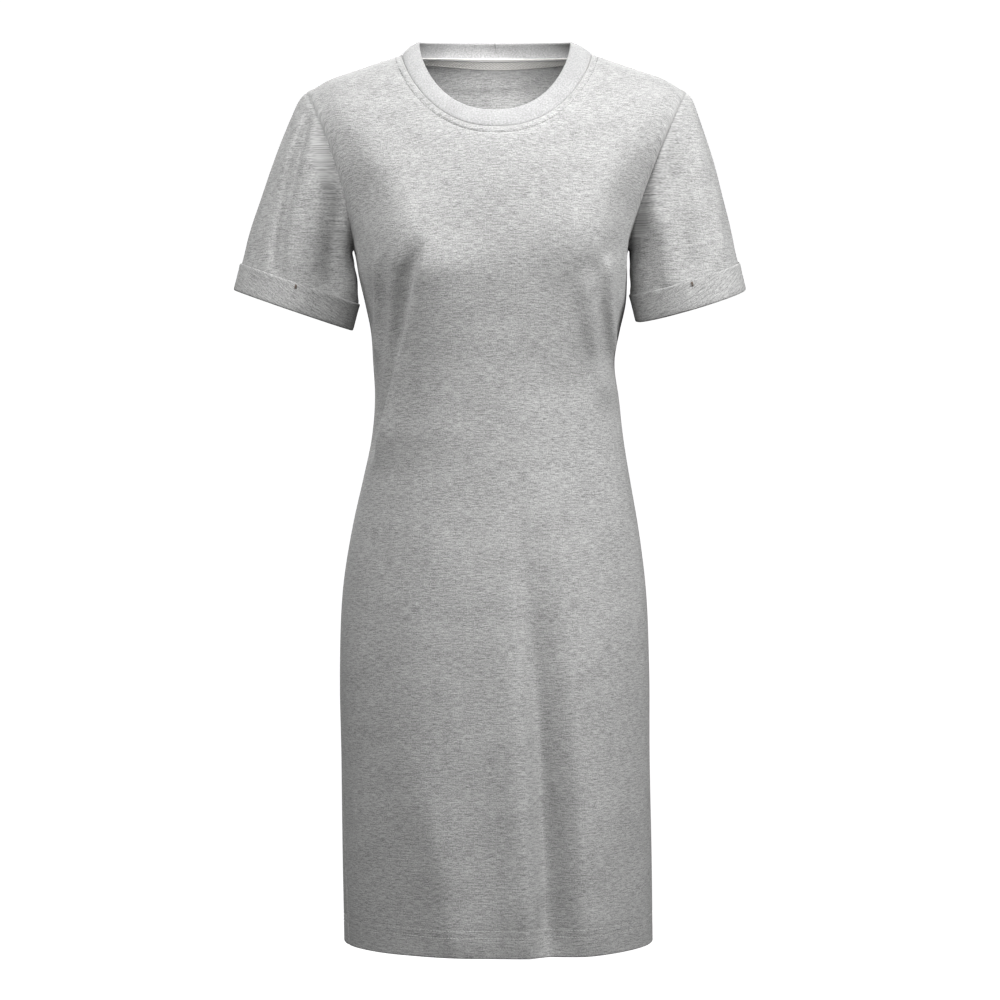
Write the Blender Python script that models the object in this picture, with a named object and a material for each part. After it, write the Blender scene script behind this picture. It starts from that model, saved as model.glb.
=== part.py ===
"""T-shirt dress in grey jersey, filled out as worn, open at the neck, the cuffs and the hem.

Metres, +Z up, the front faces -Y, left and right are as seen from the front. The origin lies
midway between the two neck points, where the shoulder seams meet the neckband.
Every piece is a thin wall: a grid of outer points worked out from the sizes below, and inner
points one cloth thickness behind it. Rows run from the hem up, columns from left to right.
"""
import math

import bpy
import numpy as np

COLLECTION = "tshirt_dress"

# Cloth and seams
CLOTH = 0.0012
HEM_CLOTH = 0.0022
BAND_CLOTH = 0.0022
CUFF_CLOTH = 0.0027
TAPE_CLOTH = 0.0009
SEAM_GAP = 0.0003
TAPE_GAP = 0.0008
BAND_PROUD = 0.0005
CUFF_PROUD = 0.0016
CUFF_EDGE_SHARE = 0.6
CUFF_HEIGHT = 0.0265
CUFF_STATIONS = (SEAM_GAP / CUFF_HEIGHT, 0.06, 0.5, 0.94, 1.0)
SHARPEST_MITRE = 0.7
SHARP_ANGLE = math.radians(50.0)
SMALLEST_LENGTH = 1e-12
ROUNDING_ERROR = 1e-9

# Heights of the body
HEM_Z = -0.883
HEM_DEEP = 0.024
HEM_STEP = 0.001
UNDERARM_Z = -0.196

# Shoulder line: it falls outwards from the neck point, blunt at the middle, with a droop at
# the tip
SHOULDER_HALF = 0.189
SHOULDER_FALL = 0.355
SHOULDER_BLUNT = 0.040
SHOULDER_DROOP = 0.005
DROOP_START = 0.85

# How far below the shoulder line the cloth bends over, at the neck and at the tip, and the
# share of the half width over which the one becomes the other
FRONT_BEND = (0.170, 0.085)
BACK_BEND = (0.070, 0.085)
BEND_BLEND = 0.6

# Neckline: half the shoulder is neck, so its sine is a half of the edge's
NECK_SHARE = 0.5
NECK_DROP = 0.083
NECK_BACK_RISE = 0.005
NECK_SQUARE = 2.3
NECK_BOWL = 0.72

# Upper edge of the neckband
BAND_MIDDLE_X = -0.0022
BAND_HALF = 0.0755
BAND_FRONT = 0.085
BAND_BACK = 0.052
BAND_SIDE_Z = 0.013
BAND_FRONT_Z = -0.0655
BAND_BACK_Z = 0.020
BAND_BOWL = 0.62
BAND_CROWN = 0.0012

# Neck tape inside the back neck
TAPE_TOP = 0.25
TAPE_BOTTOM = 0.55

# Grid sizes
NECK_STEPS = 7
SHOULDER_STEPS = 7
SKIRT_ROWS = 10
WAIST_ROWS = 12
UNDERARM_ROWS = 6
CAP_ROWS = 6
WAIST_Z = -0.455
SLEEVE_STATIONS = (0.0, 0.035, 0.09, 0.17, 0.27, 0.39, 0.52, 0.66, 0.8, 0.9, 1.0)

CLOTH_GREY = (0.36, 0.36, 0.355, 1.0)
BAND_GREY = (0.39, 0.39, 0.385, 1.0)
TAPE_GREY = (0.44, 0.43, 0.41, 1.0)
CLOTH_ROUGHNESS = 0.9


def table(columns, *rows):
    """A table with named columns, one row for each section or fold."""
    return {name: np.array(values) for name, values in zip(columns.split(), zip(*rows))}


# Sections of the body, hem first: half widths to the left and right, which above the underarm
# run on past the armhole, depths to the front and back, how square the section is, and how far
# the left side seam swings to the front in degrees
BODY = table(
    "z       left    right   front   back    square swing",
    (-0.883, 0.1525, 0.1555, 0.1300, 0.1230, 2.30, 17.0),
    (-0.800, 0.1542, 0.1545, 0.1280, 0.1220, 2.25, 14.0),
    (-0.700, 0.1555, 0.1525, 0.1250, 0.1210, 2.20, 7.0),
    (-0.610, 0.1570, 0.1520, 0.1210, 0.1190, 2.20, 2.0),
    (-0.525, 0.1530, 0.1480, 0.1160, 0.1150, 2.20, 0.0),
    (-0.465, 0.1430, 0.1400, 0.1110, 0.1040, 2.25, 0.0),
    (-0.425, 0.1340, 0.1330, 0.1080, 0.0920, 2.25, 0.0),
    (-0.385, 0.1255, 0.1265, 0.1060, 0.0810, 2.30, 0.0),
    (-0.345, 0.1220, 0.1220, 0.1060, 0.0750, 2.30, 0.0),
    (-0.305, 0.1240, 0.1175, 0.1090, 0.0770, 2.40, 0.0),
    (-0.277, 0.1260, 0.1225, 0.1130, 0.0800, 2.50, 0.0),
    (-0.250, 0.1315, 0.1285, 0.1175, 0.0840, 2.50, 0.0),
    (-0.222, 0.1380, 0.1300, 0.1215, 0.0880, 2.50, 0.0),
    (-0.196, 0.1430, 0.1310, 0.1225, 0.0910, 2.50, 0.0),
    (-0.175, 0.1520, 0.1405, 0.1205, 0.0935, 2.50, 0.0),
    (-0.155, 0.1610, 0.1510, 0.1175, 0.0955, 2.50, 0.0),
    (-0.130, 0.1725, 0.1650, 0.1130, 0.0970, 2.55, 0.0),
    (-0.100, 0.1870, 0.1820, 0.1070, 0.0975, 2.60, 0.0),
    (-0.075, 0.1990, 0.1950, 0.1020, 0.0975, 2.60, 0.0),
    (-0.040, 0.2130, 0.2100, 0.0920, 0.0960, 2.60, 0.0),
    (0.006, 0.2150, 0.2130, 0.0800, 0.0930, 2.60, 0.0),
)

# Armholes: distance of the underarm and of the shoulder tip from the middle, and how the front
# and back edges curve between them
ARMHOLES = table(
    "side  underarm tip     front_curve back_curve",
    (-1.0, 0.1430, 0.1905, 1.60, 1.15),
    (1.0, 0.1310, 0.1892, 1.28, 1.02),
)

# Cuff rings at their upper edge: middle, half width, half depth, slope and how much lower the
# front is, then the way down to the lower edge
CUFFS = table(
    "side  x        y       z        half    deep    slope pitch way_x    way_z",
    (-1.0, -0.1968, -0.005, -0.2302, 0.0615, 0.0490, 19.0, 0.06, -0.0066, -0.0254),
    (1.0, 0.1872, -0.005, -0.2245, 0.0560, 0.0540, 16.5, 0.13, 0.0063, -0.0262),
)

# How a sleeve leaves the armhole and reaches the cuff: strength of each end's direction, how
# much it spreads to the front and back, and its fall at the underarm and at the shoulder tip
SLEEVE_START = 0.35
SLEEVE_END = 0.9
SLEEVE_SPREAD = 4.0
UNDERARM_FALL = 0.12
TIP_FALL = 0.75

# Soft fullness of the bust: place, size across and up, and height
BUST = table(
    "x       z       wide   tall   out",
    (-0.088, -0.196, 0.042, 0.048, 0.0055),
    (0.086, -0.199, 0.042, 0.048, 0.0055),
)

# Folds of the body: front (-1) or back (1), upper end, lower end, width and depth (minus is a
# trough)
FOLDS = table(
    "side  x_top   z_top    x_low   z_low   wide   deep",
    (-1.0, -0.084, -0.212, -0.118, -0.385, 0.0075, -0.0032),
    (-1.0, -0.103, -0.215, -0.121, -0.340, 0.0065, -0.0030),
    (-1.0, 0.092, -0.212, 0.106, -0.300, 0.0070, -0.0030),
    (-1.0, 0.075, -0.222, 0.100, -0.330, 0.0100, 0.0016),
    (-1.0, 0.023, -0.500, 0.036, -0.900, 0.0160, 0.0050),
    (-1.0, 0.056, -0.520, 0.062, -0.900, 0.0170, -0.0060),
    (-1.0, -0.070, -0.700, -0.045, -0.900, 0.0200, 0.0030),
    (1.0, -0.060, -0.220, -0.090, -0.370, 0.0140, -0.0030),
    (1.0, 0.058, -0.220, 0.092, -0.360, 0.0140, -0.0030),
    (1.0, -0.040, -0.520, -0.062, -0.900, 0.0200, -0.0050),
    (1.0, 0.050, -0.560, 0.072, -0.900, 0.0200, -0.0045),
)

# Folds of the sleeves: side, ring position at the armhole and at the cuff in turns from the
# shoulder round the front, width in turns, and depth
SLEEVE_FOLDS = table(
    "side  turn_top turn_low wide  deep",
    (-1.0, 0.13, 0.20, 0.030, -0.0030),
    (-1.0, 0.30, 0.34, 0.040, -0.0025),
    (-1.0, 0.80, 0.74, 0.040, -0.0030),
    (1.0, 0.20, 0.24, 0.040, -0.0030),
    (1.0, 0.10, 0.12, 0.040, 0.0015),
    (1.0, 0.78, 0.74, 0.040, -0.0030),
)

# Share of a fold's length over which it rises and fades, how far past its lower end it runs,
# and the share of the half width, beside the seams, that stays without folds
FOLD_RISE = 0.25
FOLD_FADE = 0.2
FOLD_END = 1.06
SLEEVE_FOLD_RISE = 0.3
SLEEVE_FOLD_END = 1.1
FLAT_EDGE = 0.1


def read(sections, column, height):
    """Smooth value of a table's column at any height: a cubic through the rows."""
    knots = sections["z"]
    values = sections[column]
    slopes = np.gradient(values, knots)
    height = np.clip(height, knots[0], knots[-1])
    low = np.clip(np.searchsorted(knots, height, side="right") - 1, 0, len(knots) - 2)
    step = knots[low + 1] - knots[low]
    part = (height - knots[low]) / step
    rise = part * part * (3.0 - 2.0 * part)
    leave = part * (1.0 - part) ** 2 * slopes[low] * step
    arrive = part * part * (part - 1.0) * slopes[low + 1] * step
    return values[low] * (1.0 - rise) + values[low + 1] * rise + leave + arrive


def unit(vectors):
    """Vectors scaled to length one."""
    return vectors / np.maximum(np.linalg.norm(vectors, axis=-1, keepdims=True), SMALLEST_LENGTH)


def soft_step(value):
    """Nought below nought, one above one, smooth between."""
    value = np.clip(value, 0.0, 1.0)
    return value * value * (3.0 - 2.0 * value)


def column_sines():
    """Sine of each column across the body: evenly round the neck, then evenly to the edge."""
    round_neck = np.arange(NECK_STEPS + 1) / NECK_STEPS * math.pi / 2
    neck = NECK_SHARE * np.sin(round_neck)
    start = math.asin(NECK_SHARE)
    turn = start + (math.pi / 2 - start) * np.arange(1, SHOULDER_STEPS + 1) / SHOULDER_STEPS
    half = np.concatenate([neck, np.sin(turn)])
    return np.concatenate([-half[:0:-1], half])


def shoulder_line(sines):
    """Height of the shoulder line, carried on over the neck: one arm of a hyperbola."""
    across = SHOULDER_HALF * np.abs(sines)
    neck = math.hypot(SHOULDER_HALF * NECK_SHARE, SHOULDER_BLUNT)
    droop = soft_step((np.abs(sines) - DROOP_START) / (1.0 - DROOP_START))
    return SHOULDER_FALL * (neck - np.hypot(across, SHOULDER_BLUNT)) - SHOULDER_DROOP * droop


def bend(front, sines):
    """Depth below the shoulder line over which the cloth bends over it."""
    neck, tip = FRONT_BEND if front else BACK_BEND
    return tip + (neck - tip) * soft_step((1.0 - np.abs(sines)) / BEND_BLEND)


def armhole_rise(height):
    """Share of the way up the armhole, from the underarm to the shoulder tip."""
    return np.clip((height - UNDERARM_Z) / (shoulder_line(1.0) - UNDERARM_Z), 0.0, 1.0)


def row_places():
    """Rows as numbers: 0 hem, 1 underarm, 2 foot of the shoulder's rounding, 3 top."""
    rise = UNDERARM_Z - HEM_Z
    fold = HEM_DEEP / rise
    waist = (WAIST_Z - HEM_Z) / rise
    hem = [0.0, fold, fold + HEM_STEP / rise]
    skirt = np.linspace(hem[-1], waist, SKIRT_ROWS + 1)[1:]
    body = np.linspace(waist, 1.0, WAIST_ROWS + 1)[1:]
    underarm = 1.0 + np.arange(1, UNDERARM_ROWS + 1) / UNDERARM_ROWS
    cap = 2.0 + np.arange(1, CAP_ROWS + 1) / CAP_ROWS
    return np.concatenate([hem, skirt, body, underarm, cap])


def top_height(front, sines):
    """Height of the panel's upper edge: a bowl at the neck, then the shoulder line."""
    share = np.minimum(np.abs(sines) / NECK_SHARE, 1.0)
    bowl = -NECK_DROP * (1.0 - share ** NECK_SQUARE) ** NECK_BOWL
    rise = NECK_BACK_RISE * (1.0 - share ** 2)
    return np.where(share < 1.0, bowl if front else rise, shoulder_line(sines))


def places_on_bend(front, sines, places):
    """Angle of each point on its way over the shoulder: nought at the foot, upright at the top."""
    drop = (shoulder_line(sines) - top_height(front, sines)) / bend(front, sines)
    return np.arcsin(1.0 - drop) * np.clip(places - 2.0, 0.0, 1.0)


def heights(front, sines, places):
    """Height of each point: evenly up to the underarm, then like the armhole, then rounded."""
    over = bend(front, sines)
    foot = shoulder_line(sines) - over
    edge_foot = shoulder_line(1.0) - bend(front, 1.0)
    underarm = HEM_Z + (foot - HEM_Z) * (UNDERARM_Z - HEM_Z) / (edge_foot - HEM_Z)
    widest = np.arccos(1.0 - 2.0 * armhole_rise(edge_foot))
    lower = np.clip(places, 0.0, 1.0)
    middle = np.clip(places - 1.0, 0.0, 1.0)
    curl = (1.0 - np.cos(widest * middle)) / 2.0 / armhole_rise(edge_foot)
    return (HEM_Z + (underarm - HEM_Z) * lower + (foot - underarm) * curl
            + over * np.sin(places_on_bend(front, sines, places)))


def edges(front, places, side):
    """Distance of the panel's edge, and half width of the section it is cut from."""
    hole = {name: ARMHOLES[name][0 if side < 0 else 1] for name in ARMHOLES}
    height = heights(front, np.array(1.0), places)
    section = read(BODY, "left" if side < 0 else "right", height)
    curve = hole["front_curve"] if front else hole["back_curve"]
    arm = hole["underarm"] + (hole["tip"] - hole["underarm"]) * armhole_rise(height) ** curve
    return np.where(places > 1.0, arm, section), section


def fold_offset(front, points):
    """How far the folds and the bust push each point out: ridges and troughs that fade out."""
    across, height = points[..., 0], points[..., 2]
    out = np.zeros(across.shape)
    if front:
        for x, z, wide, tall, push in zip(*BUST.values()):
            out += push * np.exp(-((across - x) / wide) ** 2 - ((height - z) / tall) ** 2)
    for side, x_top, z_top, x_low, z_low, wide, deep in zip(*FOLDS.values()):
        if (side < 0) != front:
            continue
        along = (z_top - height) / (z_top - z_low)
        middle = x_top + (x_low - x_top) * along
        fade = soft_step(along / FOLD_RISE) * soft_step((FOLD_END - along) / FOLD_FADE)
        out += deep * fade * np.exp(-((across - middle) / wide) ** 2)
    return out


def panel(front, sines, places):
    """Outer points of the front or back, one row for each place and one column for each sine.

    Across, a row is the part of a rounded section that lies between its two edges. Up, the
    section follows the table, and near the shoulder line it bends over towards it.
    """
    sine, place = np.meshgrid(sines, places)
    height = heights(front, sine, place)
    edge_height = heights(front, np.array(1.0), place)
    swing = np.radians(np.where(sine < 0, read(BODY, "swing", edge_height), 0.0))
    swing_share = swing / (math.pi / 2)
    turn = np.arcsin(np.abs(sine)) * (1.0 - swing_share if front else 1.0 + swing_share)
    left, left_section = edges(front, place, -1.0)
    right, right_section = edges(front, place, 1.0)
    across = np.sin(turn) * np.where(sine < 0, left, right)
    share = across / np.where(sine < 0, left_section, right_section)
    to_front = read(BODY, "front", height)
    to_back = read(BODY, "back", height)
    wrapped = turn > math.pi / 2 + ROUNDING_ERROR
    deep = -to_front if front else np.where(wrapped, -to_front, to_back)
    rounding = np.sqrt(np.clip(1.0 - share ** read(BODY, "square", height), 0.0, 1.0))
    points = np.stack([np.sign(sine) * across,
                       deep * rounding * np.cos(places_on_bend(front, sine, place)),
                       height], axis=-1)
    flat = soft_step((1.0 - np.abs(sine)) / FLAT_EDGE)
    points += normals(points, front) * (fold_offset(front, points) * flat)[..., None]
    return points


def cell_normals(points):
    """Normal of each cell of a grid, from its two diagonals."""
    rising = points[1:, 1:] - points[:-1, :-1]
    falling = points[1:, :-1] - points[:-1, 1:]
    return unit(np.cross(rising, falling))


def normals(points, front):
    """Normals of an open grid, the mean of the cells that meet at each point."""
    cells = cell_normals(points)
    total = np.zeros(points.shape)
    for rows in (slice(0, -1), slice(1, None)):
        for columns in (slice(0, -1), slice(1, None)):
            total[rows, columns] += cells
    return unit(total) if front else -unit(total)


def ring_normals(points):
    """Normals of a grid that closes on itself across, turned away from its middle line."""
    cells = cell_normals(np.concatenate([points, points[:, :1]], axis=1))
    beside = cells + np.roll(cells, 1, axis=1)
    total = np.zeros(points.shape)
    total[:-1] += beside
    total[1:] += beside
    normal = unit(total)
    away = points - points.mean(axis=1, keepdims=True)
    return normal * np.sign(np.sum(normal * away))


def armhole_ring(front_grid, back_grid, first, column):
    """The armhole's points: from the shoulder tip down the front edge and up the back edge."""
    down = front_grid[:first - 1:-1, column]
    up = back_grid[first + 1:-1, column]
    return np.concatenate([down, up])


def cuff_ring(row, count, lower, proud):
    """A tilted oval at the cuff's upper or lower edge, its front a little lower than its back."""
    cuff = {name: CUFFS[name][row] for name in CUFFS}
    turn = np.arange(count) / count * 2.0 * math.pi
    slope = math.radians(cuff["slope"])
    out = (cuff["half"] + proud) * np.cos(turn)
    depth = cuff["y"] - (cuff["deep"] + proud) * np.sin(turn)
    x = cuff["x"] + cuff["side"] * out * math.cos(slope) + lower * cuff["way_x"]
    z = cuff["z"] + out * math.sin(slope) + lower * cuff["way_z"] + cuff["pitch"] * depth
    return np.stack([x, depth, z], axis=-1)


def sleeve_fold_offset(row, turns, along):
    """How far the sleeve's folds push each point out."""
    out = np.zeros(turns.shape)
    for side, top, low, wide, deep in zip(*SLEEVE_FOLDS.values()):
        if side != CUFFS["side"][row]:
            continue
        middle = top + (low - top) * along
        fade = (soft_step(along / SLEEVE_FOLD_RISE)
                * soft_step((SLEEVE_FOLD_END - along) / SLEEVE_FOLD_RISE))
        out += deep * fade * np.exp(-((turns - middle) / wide) ** 2)
    return out


def sleeve(row, ring):
    """Outer points of a sleeve: each thread curves from the armhole out and down to the cuff."""
    side = CUFFS["side"][row]
    count = len(ring)
    start = ring + np.array([side * SEAM_GAP, 0.0, 0.0])
    end = cuff_ring(row, count, 0.0, 0.0)
    fall = UNDERARM_FALL + (TIP_FALL - UNDERARM_FALL) * armhole_rise(start[:, 2])
    lean = np.stack([np.full(count, side), SLEEVE_SPREAD * start[:, 1], -fall], axis=-1)
    way = unit(np.array([CUFFS["way_x"][row], 0.0, CUFFS["way_z"][row]]))
    length = np.linalg.norm(end - start, axis=1, keepdims=True)
    leave = unit(lean) * SLEEVE_START * length
    arrive = way * SLEEVE_END * length
    along = np.array(SLEEVE_STATIONS)[:, None, None]
    rise = along * along * (3.0 - 2.0 * along)
    points = (start * (1.0 - rise) + end * rise + leave * along * (1.0 - along) ** 2
              + arrive * along * along * (along - 1.0))
    turns = np.broadcast_to(np.arange(count) / count, points.shape[:2])
    push = sleeve_fold_offset(row, turns, np.broadcast_to(along[..., 0], turns.shape))
    return points + ring_normals(points) * push[..., None]


def wall(name, outer, inner, closed, material):
    """One closed solid between two grids of points, closed across if it is a ring.

    Each cell of the grid is cut along its shorter diagonal, outside and inside alike. A rim's
    cells are cut from the outer point nearer the middle, so that two rims at a seam match.
    """
    rows, columns = outer.shape[:2]
    index = np.arange(rows * columns).reshape(rows, columns)
    if closed:
        index = np.concatenate([index, index[:, :1]], axis=1)
    cells = (index[:-1, :-1], index[:-1, 1:], index[1:, 1:], index[1:, :-1])
    low, low_next, high_next, high = [corner.ravel() for corner in cells]
    points = outer.reshape(-1, 3)
    rising = np.linalg.norm(points[low] - points[high_next], axis=1)
    falling = np.linalg.norm(points[low_next] - points[high], axis=1)
    swap = falling < rising
    outside = np.concatenate([np.stack([low, low_next, np.where(swap, high, high_next)], 1),
                              np.stack([np.where(swap, low_next, low), high_next, high], 1)])
    shift = rows * columns
    faces = [outside, outside[:, ::-1] + shift]
    rims = [index[0, ::-1], index[-1]]
    if not closed:
        rims += [index[:, 0], index[::-1, -1]]
    distance = np.abs(points[:, 0])
    for rim in rims:
        first, second = rim[:-1], rim[1:]
        near = distance[first] <= distance[second]
        faces.append(np.stack([first, second, shift + np.where(near, second, first)], 1))
        faces.append(np.stack([np.where(near, first, second), second + shift, first + shift], 1))
    points = np.concatenate([points, inner.reshape(-1, 3)])
    faces = np.concatenate(faces)
    corners = points[faces]
    if np.sum(corners[:, 0] * np.cross(corners[:, 1], corners[:, 2])) < 0:
        faces = faces[:, ::-1]
    mesh = bpy.data.meshes.new(name)
    mesh.from_pydata(points.tolist(), [], faces.tolist())
    mesh.shade_smooth()
    mesh.set_sharp_from_angle(angle=SHARP_ANGLE)
    mesh.materials.append(material)
    piece = bpy.data.objects.new(name, mesh)
    bpy.data.collections[COLLECTION].objects.link(piece)
    return piece


def mitre(seam, own):
    """Length factor for an inner point that moves along a seam's shared normal."""
    return 1.0 / np.maximum(np.sum(seam * own, axis=-1, keepdims=True), SHARPEST_MITRE)


def thickness(grid):
    """Cloth thickness of a body panel: double over the turned-up hem."""
    deep = (grid[..., 2] - HEM_Z) < HEM_DEEP + HEM_STEP / 2
    return np.where(deep, HEM_CLOTH, CLOTH)[..., None]


def neckband_rings(front_grid, back_grid, neck):
    """Lower ring on the neckline and upper ring of the band.

    Both start at the left neck point and go round the front first.
    """
    lower = np.concatenate([front_grid[-1, neck], back_grid[-1, neck][-2:0:-1]])
    count = NECK_STEPS * 2
    share = np.arange(-NECK_STEPS, NECK_STEPS + 1) / NECK_STEPS
    turn = share * math.pi / 2
    across = BAND_MIDDLE_X + BAND_HALF * np.sin(turn)
    bowl = (1.0 - np.abs(np.sin(turn)) ** NECK_SQUARE) ** BAND_BOWL
    front_z = BAND_SIDE_Z + (BAND_FRONT_Z - BAND_SIDE_Z) * bowl
    back_z = BAND_SIDE_Z + (BAND_BACK_Z - BAND_SIDE_Z) * np.cos(turn)
    front_edge = np.stack([across, -BAND_FRONT * np.cos(turn), front_z], axis=-1)
    back_edge = np.stack([across, BAND_BACK * np.cos(turn), back_z], axis=-1)
    upper = np.concatenate([front_edge, back_edge[count - 1:0:-1]])
    return lower, upper


def make_material(name, colour):
    """Matt knitted cloth of one colour."""
    material = bpy.data.materials.new(name)
    material.use_nodes = True
    shader = material.node_tree.nodes["Principled BSDF"]
    shader.inputs["Base Color"].default_value = colour
    shader.inputs["Roughness"].default_value = CLOTH_ROUGHNESS
    shader.inputs["Metallic"].default_value = 0.0
    material.diffuse_color = colour
    return material


def clear_scene():
    """Remove the objects of the open scene and start the dress's own collection."""
    for item in list(bpy.data.objects):
        bpy.data.objects.remove(item, do_unlink=True)
    home = bpy.data.collections.new(COLLECTION)
    bpy.context.scene.collection.children.link(home)


def build():
    """Work out every grid, share the normals along the seams, and make the walls."""
    clear_scene()
    sines = column_sines()
    places = row_places()
    first = int(np.argmin(np.abs(places - 1.0)))
    middle = len(sines) // 2
    neck = slice(middle - NECK_STEPS, middle + NECK_STEPS + 1)
    front_grid = panel(True, sines, places)
    back_grid = panel(False, sines, places)
    front_own = normals(front_grid, True)
    back_own = normals(back_grid, False)
    front_seam = front_own.copy()
    back_seam = back_own.copy()

    # Side seams and shoulder seams share the normals of the two panels
    for column in (0, -1):
        shared = unit(front_own[:first, column] + back_own[:first, column])
        front_seam[:first, column] = shared
        back_seam[:first, column] = shared
    shared = unit(front_own[-1] + back_own[-1])
    front_seam[-1] = shared
    back_seam[-1] = shared

    # Sleeves share the normals of the armholes
    sleeves = []
    for row, column in ((0, 0), (1, -1)):
        grid = sleeve(row, armhole_ring(front_grid, back_grid, first, column))
        own = ring_normals(grid)
        bodies = armhole_ring(front_own, back_own, first, column)
        bottom = len(places) - 1 - first
        bodies[0] = unit(front_own[-1, column] + back_own[-1, column])
        bodies[bottom] = unit(front_own[first, column] + back_own[first, column])
        seam = own.copy()
        seam[0] = unit(bodies + own[0])
        front_seam[:first - 1:-1, column] = seam[0, :bottom + 1]
        back_seam[first:, column] = np.concatenate([seam[0, bottom:], seam[0, :1]])
        sleeves.append((grid, own, seam))

    # The neckband shares the normals of the neckline
    lower, upper = neckband_rings(front_grid, back_grid, neck)
    rise = unit(upper - lower)
    crown = (lower + upper) / 2
    band = np.stack([lower + rise * SEAM_GAP, crown, upper])
    band_own = ring_normals(band)
    band[1] += band_own[1] * BAND_CROWN
    neckline = np.concatenate([front_own[-1, neck], back_own[-1, neck][-2:0:-1]])
    band_seam = band_own.copy()
    band_seam[0] = unit(neckline + band_own[0])
    count = 2 * NECK_STEPS
    front_seam[-1, neck] = band_seam[0, :count + 1]
    back_seam[-1, neck] = np.concatenate([band_seam[0, :1], band_seam[0, :count - 1:-1]])

    # Body panels, drawn apart by half a seam gap at the side and shoulder seams
    jersey = make_material("jersey", CLOTH_GREY)
    half = np.array([0.0, SEAM_GAP / 2, 0.0])
    body = (("front", front_grid, front_own, front_seam, -half),
            ("back", back_grid, back_own, back_seam, half))
    inner_grids = {}
    for name, grid, own, seam, apart in body:
        inner = grid - seam * thickness(grid) * mitre(seam, own)
        for points in (grid, inner):
            points[:first + 1, 0] += apart
            points[:first + 1, -1] += apart
            points[-1, :middle - NECK_STEPS + 1] += apart
            points[-1, middle + NECK_STEPS:] += apart
        inner_grids[name] = inner
        wall(name, grid, inner, False, jersey)

    # Sleeves and cuffs
    for row, label in ((0, "left"), (1, "right")):
        grid, own, seam = sleeves[row]
        count = grid.shape[1]
        end = grid[-1] - cuff_ring(row, count, 0.0, 0.0)
        wall("sleeve_" + label, grid, grid - seam * CLOTH * mitre(seam, own), True, jersey)
        outer = [cuff_ring(row, count, part, CUFF_PROUD) for part in CUFF_STATIONS]
        for rim in (0, -1):
            outer[rim] = cuff_ring(row, count, CUFF_STATIONS[rim], CUFF_PROUD * CUFF_EDGE_SHARE)
        outer = np.stack(outer) + end
        inner = np.stack([cuff_ring(row, count, part, CUFF_PROUD - CUFF_CLOTH)
                          for part in CUFF_STATIONS]) + end
        wall("cuff_" + label, outer, inner, True, jersey)

    # Neckband and neck tape
    wall("neckband", band + band_seam * BAND_PROUD,
         band - band_seam * (BAND_CLOTH - BAND_PROUD) * mitre(band_seam, band_own), True,
         make_material("rib", BAND_GREY))
    inside = inner_grids["back"][:, neck]
    inward = -back_seam[:, neck]
    lines = []
    for upper_row, part in ((-1, TAPE_TOP), (-2, 0.0), (-2, TAPE_BOTTOM)):
        point = inside[upper_row] * (1.0 - part) + inside[upper_row - 1] * part
        lines.append((point, unit(inward[upper_row] * (1 - part) + inward[upper_row - 1] * part)))
    points = np.stack([point for point, _ in lines])[:, 1:-1]
    away = np.stack([way for _, way in lines])[:, 1:-1]
    wall("neck_tape", points + away * TAPE_GAP, points + away * (TAPE_GAP + TAPE_CLOTH), False,
         make_material("tape", TAPE_GREY))


build()
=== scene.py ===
"""T-shirt dress in heather grey jersey: cloth shells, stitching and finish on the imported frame.

Metres, +Z up, the front faces -Y, left and right are as seen from the front. The origin lies
midway between the two neck points. Every piece of cloth is a closed shell on its solid's form.
"""
import math

import bpy
import numpy as np
from bpy.props import FloatProperty, FloatVectorProperty, PointerProperty
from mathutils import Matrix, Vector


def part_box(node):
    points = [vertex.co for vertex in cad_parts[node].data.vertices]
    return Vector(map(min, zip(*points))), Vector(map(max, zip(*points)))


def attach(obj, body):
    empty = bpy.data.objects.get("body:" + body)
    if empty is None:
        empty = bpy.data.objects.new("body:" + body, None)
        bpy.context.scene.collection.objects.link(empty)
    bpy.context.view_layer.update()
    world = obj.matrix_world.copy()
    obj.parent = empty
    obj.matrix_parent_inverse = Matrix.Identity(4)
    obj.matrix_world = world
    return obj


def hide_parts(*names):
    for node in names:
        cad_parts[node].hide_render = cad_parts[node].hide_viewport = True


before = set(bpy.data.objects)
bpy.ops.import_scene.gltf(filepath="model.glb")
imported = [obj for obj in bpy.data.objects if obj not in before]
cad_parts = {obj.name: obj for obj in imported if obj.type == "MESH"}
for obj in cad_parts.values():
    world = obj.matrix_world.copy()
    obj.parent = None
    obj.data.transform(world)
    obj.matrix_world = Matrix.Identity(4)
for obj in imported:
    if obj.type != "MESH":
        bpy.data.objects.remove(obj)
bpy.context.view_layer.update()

bl_info = {
    "name": "T-shirt dress",
    "version": (1, 0, 0),
    "blender": (4, 5, 0),
    "location": "3D View > Sidebar > Dress",
    "description": "Builds a t-shirt dress in heather grey jersey, with its stitching and stage",
    "category": "Add Mesh",
}

MM = 0.001
BODY_NAME = "root"

# Heights of the body, and the shoulder line: it falls outwards from the neck point, blunt at
# the middle, with a droop at the tip
HEM_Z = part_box("front")[0].z
UNDERARM_Z = -0.196
SHOULDER_HALF = 0.189
SHOULDER_FALL = 0.355
SHOULDER_BLUNT = 0.040
SHOULDER_DROOP = 0.005
DROOP_START = 0.85

# How far below the shoulder line the cloth bends over, at the neck and at the tip, and the
# share of the half width over which the one becomes the other
FRONT_BEND = (0.170, 0.085)
BACK_BEND = (0.070, 0.085)
BEND_BLEND = 0.6

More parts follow.
